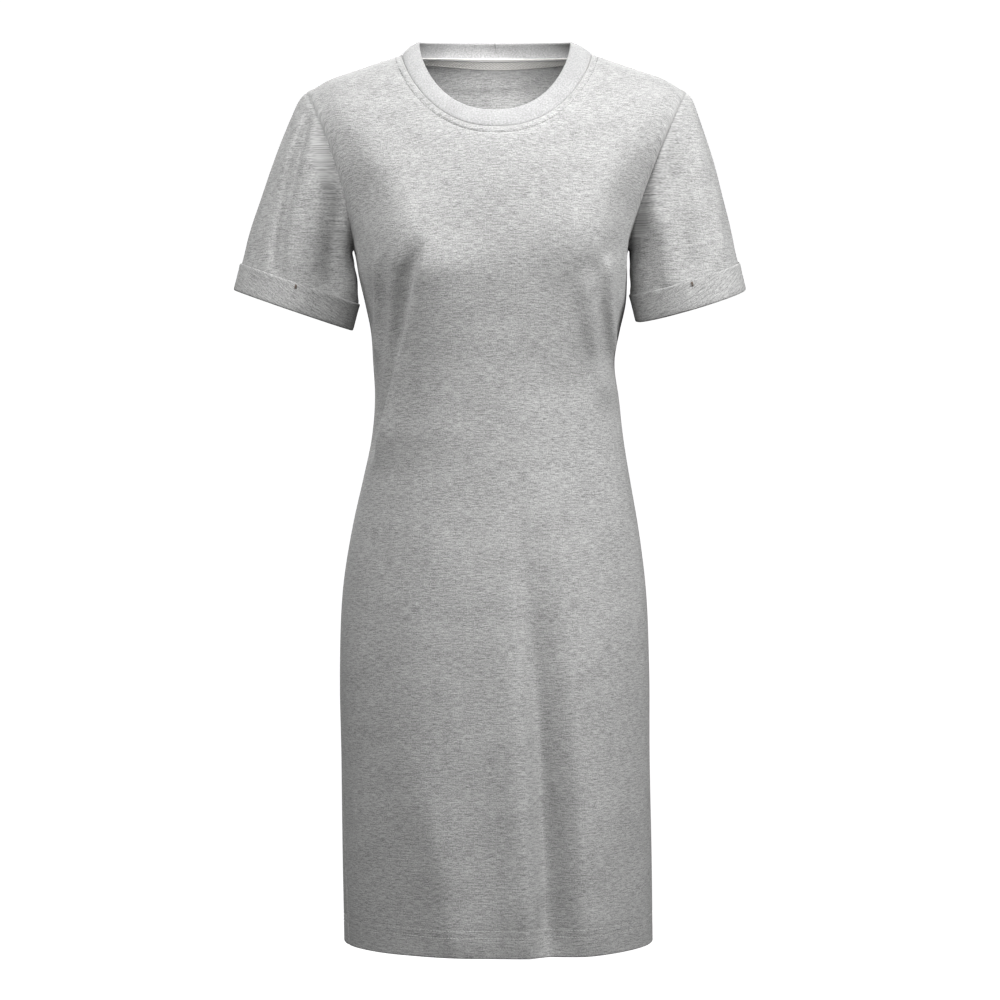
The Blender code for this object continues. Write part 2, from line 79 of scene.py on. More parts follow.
# Neckline, and the neckband's upper edge
NECK_SHARE = 0.5
NECK_DROP = 0.083
NECK_BACK_RISE = 0.005
NECK_SQUARE = 2.3
NECK_BOWL = 0.72
BAND_MIDDLE_X = -0.0022
BAND_HALF = 0.0755
BAND_FRONT = 0.085
BAND_BACK = 0.052
BAND_SIDE_Z = 0.013
BAND_FRONT_Z = -0.0655
BAND_BACK_Z = 0.020
BAND_BOWL = 0.62
BAND_CROWN = 1.2 * MM
SEAM_GAP = 0.3 * MM
SHELL_GAP = 0.04 * MM

# Grid sizes: columns from the middle to the neck point and on to the edge, and rows
NECK_STEPS = 48
SHOULDER_STEPS = 58
SKIRT_ROWS = 134
UNDERARM_ROWS = 30
CAP_ROWS = 22
SLEEVE_ROWS = 56

# Rows that lie closer together: in millimetres above the hem's edge and below the upper edge,
# and in shares of the sleeve from its armhole seam
HEM_ROWS = (0.0, 1.2, 3.5, 8.0, 12.5, 16.5, 18.6, 20.0, 21.4, 23.6, 25.6, 27.0, 28.4, 31.0, 35.0)
TOP_ROWS = (11.0, 9.0, 7.8, 6.9, 6.2, 5.4, 4.4, 3.3, 2.2, 1.4, 0.7, 0.0)
SLEEVE_SEAM_ROWS = (0.0, 0.006, 0.014, 0.024)
HEM_STITCHES = (20.0 * MM, 27.0 * MM)
HEM_ALLOWANCE = 28.0 * MM
HEM_STEP = 2.0 * MM

# Rounds in which the upper edge is closed in on, and points for each step of the neckline that
# distances are measured from
EDGE_ROUNDS = 20
SEAM_POINTS = 10

# Where on the cloth each piece is cut, so that no two show the same streaks
BACK_PLACE = 1.7
SLEEVE_PLACE = 3.1
CUFF_PLACE = 5.3


def table(columns, *rows):
    """A table with named columns, one row for each section or fold."""
    return {name: np.array(values) for name, values in zip(columns.split(), zip(*rows))}


# Sections of the body, hem first, as the solids have them
BODY = table(
    "z       left    right   front   back    square swing",
    (-0.883, 0.1525, 0.1555, 0.1300, 0.1230, 2.30, 17.0),
    (-0.800, 0.1542, 0.1545, 0.1280, 0.1220, 2.25, 14.0),
    (-0.700, 0.1555, 0.1525, 0.1250, 0.1210, 2.20, 7.0),
    (-0.610, 0.1570, 0.1520, 0.1210, 0.1190, 2.20, 2.0),
    (-0.525, 0.1530, 0.1480, 0.1160, 0.1150, 2.20, 0.0),
    (-0.465, 0.1430, 0.1400, 0.1110, 0.1040, 2.25, 0.0),
    (-0.425, 0.1340, 0.1330, 0.1080, 0.0920, 2.25, 0.0),
    (-0.385, 0.1255, 0.1265, 0.1060, 0.0810, 2.30, 0.0),
    (-0.345, 0.1220, 0.1220, 0.1060, 0.0750, 2.30, 0.0),
    (-0.305, 0.1240, 0.1175, 0.1090, 0.0770, 2.40, 0.0),
    (-0.277, 0.1260, 0.1225, 0.1130, 0.0800, 2.50, 0.0),
    (-0.250, 0.1315, 0.1285, 0.1175, 0.0840, 2.50, 0.0),
    (-0.222, 0.1380, 0.1300, 0.1215, 0.0880, 2.50, 0.0),
    (-0.196, 0.1430, 0.1310, 0.1225, 0.0910, 2.50, 0.0),
    (-0.175, 0.1520, 0.1405, 0.1205, 0.0935, 2.50, 0.0),
    (-0.155, 0.1610, 0.1510, 0.1175, 0.0955, 2.50, 0.0),
    (-0.130, 0.1725, 0.1650, 0.1130, 0.0970, 2.55, 0.0),
    (-0.100, 0.1870, 0.1820, 0.1070, 0.0975, 2.60, 0.0),
    (-0.075, 0.1990, 0.1950, 0.1020, 0.0975, 2.60, 0.0),
    (-0.040, 0.2130, 0.2100, 0.0920, 0.0960, 2.60, 0.0),
    (0.006, 0.2150, 0.2130, 0.0800, 0.0930, 2.60, 0.0),
)
ARMHOLES = table(
    "side  underarm tip     front_curve back_curve",
    (-1.0, 0.1430, 0.1905, 1.60, 1.15),
    (1.0, 0.1310, 0.1892, 1.28, 1.02),
)
CUFFS = table(
    "side  x        y       z        half    deep    slope pitch way_x    way_z",
    (-1.0, -0.1968, -0.005, -0.2302, 0.0615, 0.0490, 19.0, 0.06, -0.0066, -0.0254),
    (1.0, 0.1872, -0.005, -0.2245, 0.0560, 0.0540, 16.5, 0.13, 0.0063, -0.0262),
)
SLEEVE_START = 0.35
SLEEVE_END = 0.9
SLEEVE_SPREAD = 4.0
UNDERARM_FALL = 0.12
TIP_FALL = 0.75

# Soft fullness of the bust, front only
BUST = table(
    "x       z       wide   tall   out",
    (-0.092, -0.196, 0.040, 0.050, 0.0125),
    (0.088, -0.199, 0.040, 0.050, 0.0125),
)

# Creases of the body, front (-1) or back (1): upper end, place halfway down, lower end, width
# to the left and to the right, share of the length over which it rises, and depth (minus is a
# trough)
CREASES = table(
    "side  x_top   z_top    x_mid    x_low    z_low   left    right   rise  deep",
    (-1.0, -0.106, -0.190, -0.1130, -0.1195, -0.310, 0.0036, 0.0048, 0.20, 0.0040),
    (-1.0, -0.086, -0.186, -0.1005, -0.1165, -0.362, 0.0044, 0.0052, 0.20, 0.0052),
    (-1.0, -0.060, -0.184, -0.0880, -0.1185, -0.410, 0.0062, 0.0420, 0.18, 0.0094),
    (-1.0, -0.069, -0.188, -0.0965, -0.1255, -0.405, 0.0095, 0.0054, 0.18, -0.0066),
    (-1.0, 0.094, -0.200, 0.1030, 0.1140, -0.305, 0.0036, 0.0090, 0.22, 0.0074),
    (-1.0, 0.079, -0.216, 0.0890, 0.1050, -0.350, 0.0060, 0.0110, 0.22, 0.0052),
    (-1.0, 0.127, -0.248, 0.1220, 0.1160, -0.300, 0.0040, 0.0050, 0.22, -0.0036),
    (-1.0, 0.000, -0.390, 0.0210, 0.0310, -0.915, 0.0260, 0.0130, 0.75, 0.0105),
    (-1.0, 0.016, -0.400, 0.0410, 0.0520, -0.915, 0.0135, 0.0170, 0.75, -0.0165),
    (-1.0, 0.055, -0.430, 0.0740, 0.0840, -0.915, 0.0160, 0.0360, 0.70, 0.0115),
    (-1.0, -0.070, -0.690, -0.0540, -0.0360, -0.895, 0.0200, 0.0300, 0.55, 0.0034),
    (-1.0, -0.100, -0.700, -0.0900, -0.0800, -0.910, 0.0260, 0.0240, 0.55, -0.0022),
    (-1.0, 0.030, -0.855, 0.0310, 0.0330, -0.905, 0.0026, 0.0026, 0.22, 0.0010),
    (-1.0, 0.045, -0.855, 0.0470, 0.0490, -0.905, 0.0026, 0.0026, 0.22, 0.0010),
    (1.0, -0.060, -0.220, -0.0760, -0.0900, -0.370, 0.0140, 0.0080, 0.22, -0.0042),
    (1.0, -0.078, -0.214, -0.0920, -0.1020, -0.350, 0.0080, 0.0120, 0.22, 0.0034),
    (1.0, 0.058, -0.220, 0.0750, 0.0920, -0.360, 0.0080, 0.0140, 0.22, -0.0042),
    (1.0, 0.072, -0.208, 0.0880, 0.1020, -0.340, 0.0120, 0.0060, 0.22, 0.0032),
    (1.0, -0.040, -0.440, -0.0500, -0.0620, -0.915, 0.0180, 0.0140, 0.55, -0.0080),
    (1.0, -0.012, -0.500, -0.0180, -0.0260, -0.915, 0.0160, 0.0240, 0.50, 0.0056),
    (1.0, 0.050, -0.480, 0.0620, 0.0720, -0.915, 0.0160, 0.0200, 0.50, -0.0072),
    (1.0, 0.086, -0.560, 0.0940, 0.1000, -0.915, 0.0200, 0.0140, 0.45, 0.0044),
)

# How each crease ends, in shares of its length: the fade and where it is over; the power of its
# bell; and the share of the panel's edge, in sines, where the folds die out at the side seams
CREASE_FADE = 0.22
CREASE_END = 1.06
CREASE_PEAK = 1.6
SIDE_CALM = 0.06

# Soft level wrinkles of the back below its neckline: place, half length, half height, depth
WRINKLES = table(
    "x       z       long   tall    deep",
    (-0.012, -0.020, 0.030, 0.0030, -0.0009),
    (-0.030, -0.028, 0.036, 0.0040, 0.0008),
    (0.026, -0.024, 0.030, 0.0035, 0.0006),
    (0.004, -0.041, 0.040, 0.0060, -0.0008),
)

# Slow unevenness of all the cloth: wave counts per metre across and up, a phase, and height
RIPPLES = table(
    "across up     phase height",
    (3.1, 2.3, 0.4, 0.00050),
    (-4.7, 5.9, 1.7, 0.00035),
    (9.3, 3.4, 2.9, 0.00022),
    (-8.1, 11.2, 4.1, 0.00018),
    (14.0, 7.7, 5.3, 0.00012),
)
BACK_PHASE = 2.0

# Folds of the sleeves: ring position at the armhole and at the cuff in turns from the shoulder
# round the front, width before and after in turns, and depth
SLEEVE_FOLDS = table(
    "side  turn_top turn_low before after deep",
    (-1.0, 0.110, 0.195, 0.014, 0.010, -0.0060),
    (-1.0, 0.085, 0.160, 0.030, 0.018, 0.0022),
    (-1.0, 0.150, 0.230, 0.016, 0.030, 0.0024),
    (-1.0, 0.310, 0.350, 0.050, 0.045, -0.0065),
    (-1.0, 0.800, 0.740, 0.040, 0.040, -0.0030),
    (-1.0, 0.880, 0.840, 0.030, 0.030, 0.0015),
    (1.0, 0.200, 0.240, 0.045, 0.035, -0.0048),
    (1.0, 0.350, 0.370, 0.040, 0.040, -0.0050),
    (1.0, 0.100, 0.120, 0.040, 0.040, 0.0015),
    (1.0, 0.290, 0.310, 0.030, 0.020, 0.0014),
    (1.0, 0.780, 0.740, 0.040, 0.040, -0.0030),
    (1.0, 0.880, 0.850, 0.030, 0.030, 0.0014),
)
SLEEVE_FOLD_RISE = 0.3
SLEEVE_FOLD_END = 1.1

# Slow unevenness of the sleeves: wave counts round and along, a phase, how much that changes
# from sleeve to sleeve, and height; and the share of the length where it dies out at both ends
SLEEVE_RIPPLES = table(
    "round  along phase change height",
    (5.0, 1.5, 0.0, 1.0, 0.0005),
    (9.0, -2.6, 2.0, 0.0, 0.0003),
)
SLEEVE_CALM = 0.15

# Relief along the seams: a groove at the seam, and the raised stitched allowance beside the
# neckline with the groove of its lower stitch row
SEAM_DIP = 0.7 * MM
SEAM_WIDE = 1.6 * MM
NECK_ROWS = (1.0 * MM, 6.3 * MM)
NECK_RIDGE = 0.60 * MM
NECK_GROOVE = 0.65 * MM
NECK_DIP = 0.35 * MM
NECK_POINT_FADE = (3.0 * MM, 9.0 * MM)
ROW_WIDE = 1.0 * MM
ROW_GROOVE = 0.30 * MM

# Cuff, as a closed profile: share of the way down, and distance out from the sleeve
CUFF_PROFILE = table(
    "down    out",
    (0.020, -0.0011), (0.020, 0.0004), (-0.030, 0.0004), (-0.048, 0.0006), (-0.058, 0.0010),
    (-0.050, 0.0015), (-0.025, 0.0018), (0.020, 0.0019), (0.100, 0.0017), (0.250, 0.0016),
    (0.400, 0.0016), (0.550, 0.0016), (0.700, 0.0016), (0.850, 0.0016), (0.930, 0.0015),
    (0.975, 0.0011), (0.995, 0.0003), (0.980, -0.0006), (0.940, -0.0011), (0.700, -0.0011),
    (0.400, -0.0011), (0.150, -0.0011),
)

# Cuff tack: its turn on each cuff, how far apart in turns its three threads lie, the shares of
# the way down between which they run, how far out, and a thread's length and radius
TACK_TURNS = (0.25, 0.24)
TACK_APART = 0.0018
TACK_SPAN = (-0.02, 0.18)
TACK_OUT = 2.1 * MM
TACK_LENGTH = 4.6 * MM
TACK_RADIUS = 0.45 * MM

# Stitches: pitch in stitch lengths, and how much longer and thicker the neckband join's are
STITCH_PITCH = 1.25
JOIN_LONGER = 1.2
JOIN_THICKER = 1.3

# Neckband, as a closed profile: share of the way up, and distance out
BAND_PROFILE = table(
    "up     out",
    (0.000, -0.0004), (0.035, 0.0002), (0.090, 0.0005), (0.200, 0.0005), (0.350, 0.0005),
    (0.500, 0.0005), (0.650, 0.0005), (0.800, 0.0005), (0.920, 0.0005), (0.975, 0.0002),
    (1.000, -0.0006), (0.975, -0.0014), (0.920, -0.0017), (0.800, -0.0017), (0.650, -0.0017),
    (0.500, -0.0017), (0.350, -0.0017), (0.200, -0.0017), (0.050, -0.0019), (-0.120, -0.0023),
    (-0.150, -0.0020), (-0.100, -0.0017), (-0.010, -0.0014),
)

# Rows of that profile: the one that the ring's length is taken on, and those on the inner face
# between which the join's stitches lie
BAND_MIDDLE_ROW = 5
BAND_JOIN_ROWS = slice(11, 17)

# Tape inside the back neck, measured down from the neckline: its plain upper edge laps over the
# seam, its ribs start below that, turn back a share of the way down, and fade at both edges
TAPE_TOP = -3.0 * MM
TAPE_RIBS_FROM = 0.4 * MM
TAPE_LOW = 13.6 * MM
TAPE_ROWS = 22
TAPE_COLUMNS = 230
TAPE_SHARE = 0.855
TAPE_GAP = 0.8 * MM
TAPE_RIB = 3.6 * MM
TAPE_RELIEF = 0.28 * MM
TAPE_TURN = 0.78
TAPE_SLANT = 1.15
TAPE_EDGE = 1.2 * MM

# Lights: name, place, point looked at, size, share of the key's power, and cone of a beam
LIGHTS = (
    ("key_light", (1.50, -0.95, 0.80), (0.0, 0.0, -0.30), 0.5, 1.0, 0.0),
    ("high_light", (-0.45, -1.00, 0.95), (0.0, 0.0, -0.15), 0.5, 0.42, 0.0),
    ("front_light", (-0.10, -2.40, 0.40), (0.0, 0.0, -0.35), 1.0, 0.44, 0.0),
    ("left_light", (-1.60, -0.60, 0.0), (0.0, 0.0, -0.40), 1.0, 0.13, 0.0),
    ("rim_light", (0.0, 0.5, 1.40), (0.0, 0.0, -0.30), 0.8, 0.10, 0.0),
    ("back_light", (-0.3, 1.5, 1.0), (0.0, 0.0, -0.25), 0.9, 0.80, 0.0),
    ("neck_light", (0.05, -2.60, -0.05), (0.0, 0.05, -0.014), 0.05, 7.2, 0.056),
)

# Camera: as far off as the photo's, and at its height. At this distance a metre fills the frame
CAMERA_X = 0.003
CAMERA_AWAY = 2.9
CAMERA_Z = -0.445


def read(sections, column, height):
    """Smooth value of a table's column at any height: a cubic through the rows."""
    knots = sections["z"]
    values = sections[column]
    slopes = np.gradient(values, knots)
    height = np.clip(height, knots[0], knots[-1])
    low = np.clip(np.searchsorted(knots, height, side="right") - 1, 0, len(knots) - 2)
    step = knots[low + 1] - knots[low]
    part = (height - knots[low]) / step
    rise = part * part * (3.0 - 2.0 * part)
    leave = part * (1.0 - part) ** 2 * slopes[low] * step
    arrive = part * part * (part - 1.0) * slopes[low + 1] * step
    return values[low] * (1.0 - rise) + values[low + 1] * rise + leave + arrive


def unit(vectors):
    """Vectors scaled to length one."""
    return vectors / np.maximum(np.linalg.norm(vectors, axis=-1, keepdims=True), 1e-12)


def soft_step(value):
    """Nought below nought, one above one, smooth between: 3t^2 - 2t^3."""
    value = np.clip(value, 0.0, 1.0)
    return value * value * (3.0 - 2.0 * value)


def bump(distance, wide):
    """One at distance nought, falling off like a bell over the width."""
    return np.exp(-(distance / wide) ** 2)


def column_sines():
    """Sine of each column across the body: evenly below the neck, then evenly to the edge."""
    start = math.asin(NECK_SHARE)
    neck = np.sin(np.arange(NECK_STEPS + 1) / NECK_STEPS * start)
    turn = start + (math.pi / 2 - start) * np.arange(1, SHOULDER_STEPS + 1) / SHOULDER_STEPS
    half = np.concatenate([neck, np.sin(turn)])
    return np.concatenate([-half[:0:-1], half])


def shoulder_line(sines):
    """Height of the shoulder line, carried on over the neck: one arm of a hyperbola."""
    across = SHOULDER_HALF * np.abs(sines)
    neck = math.hypot(SHOULDER_HALF * NECK_SHARE, SHOULDER_BLUNT)
    droop = soft_step((np.abs(sines) - DROOP_START) / (1.0 - DROOP_START))
    return SHOULDER_FALL * (neck - np.hypot(across, SHOULDER_BLUNT)) - SHOULDER_DROOP * droop


def bend(front, sines):
    """Depth below the shoulder line over which the cloth bends over it."""
    neck, tip = FRONT_BEND if front else BACK_BEND
    return tip + (neck - tip) * soft_step((1.0 - np.abs(sines)) / BEND_BLEND)


def armhole_rise(height):
    """Share of the way up the armhole, from the underarm to the shoulder tip."""
    return np.clip((height - UNDERARM_Z) / (shoulder_line(1.0) - UNDERARM_Z), 0.0, 1.0)


def top_height(front, sines):
    """Height of the panel's upper edge: a bowl at the neck, then the shoulder line."""
    share = np.minimum(np.abs(sines) / NECK_SHARE, 1.0)
    bowl = -NECK_DROP * (1.0 - share ** NECK_SQUARE) ** NECK_BOWL
    rise = NECK_BACK_RISE * (1.0 - share ** 2)
    return np.where(share < 1.0, bowl if front else rise, shoulder_line(sines))


def bend_turn(places):
    """Angle of each point on its way over the shoulder: nought at the foot, upright at the top."""
    return math.pi / 2 * np.clip(places - 2.0, 0.0, 1.0)


def heights(front, sines, places):
    """Height of each point: evenly up to the underarm, then like the armhole, then rounded."""
    over = bend(front, sines)
    foot = shoulder_line(sines) - over
    edge_foot = shoulder_line(1.0) - bend(front, 1.0)
    underarm = HEM_Z + (foot - HEM_Z) * (UNDERARM_Z - HEM_Z) / (edge_foot - HEM_Z)
    widest = np.arccos(1.0 - 2.0 * armhole_rise(edge_foot))
    lower = np.clip(places, 0.0, 1.0)
    middle = np.clip(places - 1.0, 0.0, 1.0)
    curl = (1.0 - np.cos(widest * middle)) / 2.0 / armhole_rise(edge_foot)
    return (HEM_Z + (underarm - HEM_Z) * lower + (foot - underarm) * curl
            + over * np.sin(bend_turn(places)))


def arm_edge(front, height, side):
    """Distance of the armhole's edge from the middle at a height."""
    hole = {name: ARMHOLES[name][0 if side < 0 else 1] for name in ARMHOLES}
    curve = hole["front_curve"] if front else hole["back_curve"]
    return hole["underarm"] + (hole["tip"] - hole["underarm"]) * armhole_rise(height) ** curve


def edges(front, places, side):
    """Distance of the panel's edge, and half width of the section it is cut from."""
    height = heights(front, np.array(1.0), places)
    section = read(BODY, "left" if side < 0 else "right", height)
    return np.where(places > 1.0, arm_edge(front, height, side), section), section


def neck_sines(sines):
    """Sine at which each column reaches the upper edge: closer together towards the neck point."""
    turn = np.minimum(np.arcsin(np.abs(sines)) / math.asin(NECK_SHARE), 1.0) * math.pi / 2
    return np.where(np.abs(sines) < NECK_SHARE, np.sign(sines) * NECK_SHARE * np.sin(turn), sines)


def arm_lean(front, sines, height):
    """How much further out the armhole's edge is at the shoulder tip than at a height."""
    tips = np.where(sines < 0, *ARMHOLES["tip"])
    return tips / np.where(sines < 0, *(arm_edge(front, height, side) for side in (-1.0, 1.0)))


def upper_edge(front, sines):
    """Place of the panel's upper edge: on the uncut shoulder, the point that has the
    neckline's place across and up, found by closing in on it."""
    height = top_height(front, sines)
    tip_bend = bend(front, np.array(1.0))
    column = np.abs(sines)
    for _ in range(EDGE_ROUNDS):
        rise = np.clip(1.0 + (height - shoulder_line(column)) / bend(front, column), 0.0, 1.0)
        edge_height = shoulder_line(1.0) - tip_bend * (1.0 - rise)
        column = np.abs(sines) * arm_lean(front, sines, edge_height)
    return np.where(np.abs(sines) < NECK_SHARE, 2.0 + np.arcsin(rise) / (math.pi / 2), 3.0)


def above_foot(front, sines, shares):
    """Sines and places at shares of the way from the shoulder's foot to the upper edge.

    Columns near the neck point keep their distance from the middle while the armhole's edge
    leans out, so that none crosses the neckline.
    """
    ends = neck_sines(sines)
    place = 2.0 + (upper_edge(front, ends) - 2.0) * shares
    lean = arm_lean(front, sines, heights(front, np.array(1.0), place)) - 1.0
    hold = soft_step(2.0 * shares) * soft_step((1.0 - np.abs(sines)) / (1.0 - NECK_SHARE))
    return (sines + (ends - sines) * shares) * (1.0 + lean * hold), place


def panel_form(front, sine, place):
    """Smooth form of the front or back at any sines and places, without folds.

    Across, a point lies on a rounded section, at the angle whose sine its column has. Up, the
    section follows the table, and near the shoulder line it bends over towards it.
    """
    height = heights(front, sine, place)
    edge_height = heights(front, np.array(1.0), place)
    swing = np.radians(np.where(sine < 0, read(BODY, "swing", edge_height), 0.0))
    swing_share = swing / (math.pi / 2)
    turn = np.arcsin(np.abs(sine)) * (1.0 - swing_share if front else 1.0 + swing_share)
    left, left_section = edges(front, place, -1.0)
    right, right_section = edges(front, place, 1.0)
    across = np.sin(turn) * np.where(sine < 0, left, right)
    share = across / np.where(sine < 0, left_section, right_section)
    to_front = read(BODY, "front", height)
    to_back = read(BODY, "back", height)
    wrapped = turn > math.pi / 2 + 1e-9
    deep = -to_front if front else np.where(wrapped, -to_front, to_back)
    rounding = np.sqrt(np.clip(1.0 - share ** read(BODY, "square", height), 0.0, 1.0))
    return np.stack([np.sign(sine) * across, deep * rounding * np.cos(bend_turn(place)), height],
                    axis=-1)


def form_normals(front, sine, place):
    """Normals of the smooth form, from short steps on it to both sides and up and down."""
    step = 0.002
    across = (panel_form(front, np.clip(sine + step, -1.0, 1.0), place)
              - panel_form(front, np.clip(sine - step, -1.0, 1.0), place))
    rising = (panel_form(front, sine, np.minimum(place + step, 3.0))
              - panel_form(front, sine, place - step))
    return unit(np.cross(across, rising)) * (1.0 if front else -1.0)


def crease_offset(front, points):
    """How far the bust, creases, wrinkles and ripples push each point out.

    A crease's middle line is a parabola through its three places. Across it the push falls off
    like a bell, e^-(distance / width)^peak, with a width of its own to each side.
    """
    across, height = points[..., 0], points[..., 2]
    out = np.zeros(across.shape)
    if front:
        for x, z, wide, tall, push in zip(*BUST.values()):
            out += push * bump(across - x, wide) * bump(height - z, tall)
    else:
        for x, z, wide, tall, push in zip(*WRINKLES.values()):
            out += push * bump(across - x, wide) * bump(height - z, tall)
    for side, x_top, z_top, x_mid, x_low, z_low, left, right, rise, deep in zip(*CREASES.values()):
        if (side < 0) != front:
            continue
        along = (z_top - height) / (z_top - z_low)
        middle = (x_top * (1.0 - along) * (1.0 - 2.0 * along) + 4.0 * x_mid * along * (1.0 - along)
                  + x_low * along * (2.0 * along - 1.0))
        fade = soft_step(along / rise) * soft_step((CREASE_END - along) / CREASE_FADE)
        distance = across - middle
        width = np.where(distance < 0, left, right)
        out += deep * fade * np.exp(-np.abs(distance / width) ** CREASE_PEAK)
    own_phase = 0.0 if front else BACK_PHASE
    for waves, up, phase, size in zip(*RIPPLES.values()):
        turn = 2.0 * math.pi * (waves * across + up * height) + phase + own_phase
        out += size * np.sin(turn)
    return out


def grid_normals(points, outward):
    """Normals of an open grid, the mean of the cells that meet at each point."""
    rising = points[1:, 1:] - points[:-1, :-1]
    falling = points[1:, :-1] - points[:-1, 1:]
    faces = unit(np.cross(rising, falling))
    total = np.zeros(points.shape)
    for rows in (slice(0, -1), slice(1, None)):
        for columns in (slice(0, -1), slice(1, None)):
            total[rows, columns] += faces
    return unit(total) * outward


def ring_normals(points):
    """Normals of a grid that closes on itself across, turned away from its middle line."""
    wrapped = np.concatenate([points[:, -1:], points, points[:, :1]], axis=1)
    normal = grid_normals(wrapped, 1.0)[:, 1:-1]
    away = points - points.mean(axis=1, keepdims=True)
    return normal * np.sign(np.sum(normal * away))


def panel(front, sine, place):
    """Outer points of the front or back with its folds, which fade out beside the seams."""
    points = panel_form(front, sine, place)
    normal = form_normals(front, sine, place)
    flat = soft_step((1.0 - np.abs(sine)) / SIDE_CALM)
    return points + normal * (crease_offset(front, points) * flat)[..., None]


def shares_below(front, sines, down):
    """Shares of the way to the upper edge of rows that lie a length of cloth below it."""
    step = 0.02
    shares = np.array([1.0 - step, 1.0])[:, None] + 0.0 * sines
    ends = panel_form(front, *above_foot(front, sines, shares))
    return 1.0 - down * step / np.linalg.norm(ends[1] - ends[0], axis=-1)


def panel_grid(front, sines):
    """Sine and place of every grid point: level rows, closer at the hem and the upper edge."""
    rise = UNDERARM_Z - HEM_Z
    hem = np.array(HEM_ROWS) * MM / rise
    skirt = np.linspace(hem[-1], 1.0, SKIRT_ROWS + 1)[1:]
    foot_rise = armhole_rise(shoulder_line(1.0) - bend(front, np.array(1.0)))
    even = np.arange(1, UNDERARM_ROWS + 1) / UNDERARM_ROWS
    underarm = 1.0 + np.arccos(1.0 - 2.0 * foot_rise * even) / math.acos(1.0 - 2.0 * foot_rise)
    place = np.concatenate([hem, skirt, underarm])[:, None] + 0.0 * sines
    top = shares_below(front, sines, np.array(TOP_ROWS)[:, None] * MM)
    cap = top[:1] * (np.arange(1, CAP_ROWS) / CAP_ROWS)[:, None]
    cap_sine, cap_place = above_foot(front, sines, np.concatenate([cap, top]))
    return (np.concatenate([0.0 * place + sines, cap_sine]),
            np.concatenate([place, cap_place]))


def squares_between(points, others):
    """Square of the distance of every point to every one of the others."""
    return np.sum(points ** 2, 1)[:, None] + np.sum(others ** 2, 1) - 2.0 * points @ others.T


def nearest_distance(points, line):
    """Distance of each point to the nearest of a line's points."""
    squares = squares_between(points.reshape(-1, 3), line)
    return np.sqrt(np.maximum(squares.min(axis=1), 0.0)).reshape(points.shape[:-1])


def lengths_up(points):
    """Length of cloth from the first row up each column."""
    steps = np.linalg.norm(np.diff(points, axis=0), axis=-1)
    return np.concatenate([np.zeros((1, points.shape[1])), np.cumsum(steps, axis=0)])


def lengths_along(points):
    """Length of cloth from the first column along each row."""
    return lengths_up(points.swapaxes(0, 1)).T


def edge_distances(points):
    """Distance of each grid point, along its row, to the nearer edge of the panel."""
    walk = lengths_along(points)
    return np.minimum(walk, walk[:, -1:] - walk)


def lengths_across(points, middle):
    """Level length of cloth from the middle column outwards along each row."""
    walk = lengths_along(points[..., :2])
    return walk - walk[:, middle:middle + 1]


def neck_relief(distance):
    """Height of the stitched allowance below the neckline, by distance from the seam: a flat
    ridge between the two rows, less a bell-shaped groove at the lower row and one at the seam."""
    upper, lower = NECK_ROWS
    ridge = soft_step(distance / upper) * soft_step((lower - distance) / upper)
    return (NECK_RIDGE * ridge - NECK_GROOVE * bump(distance - lower, ROW_WIDE)
            - NECK_DIP * bump(distance, ROW_WIDE))


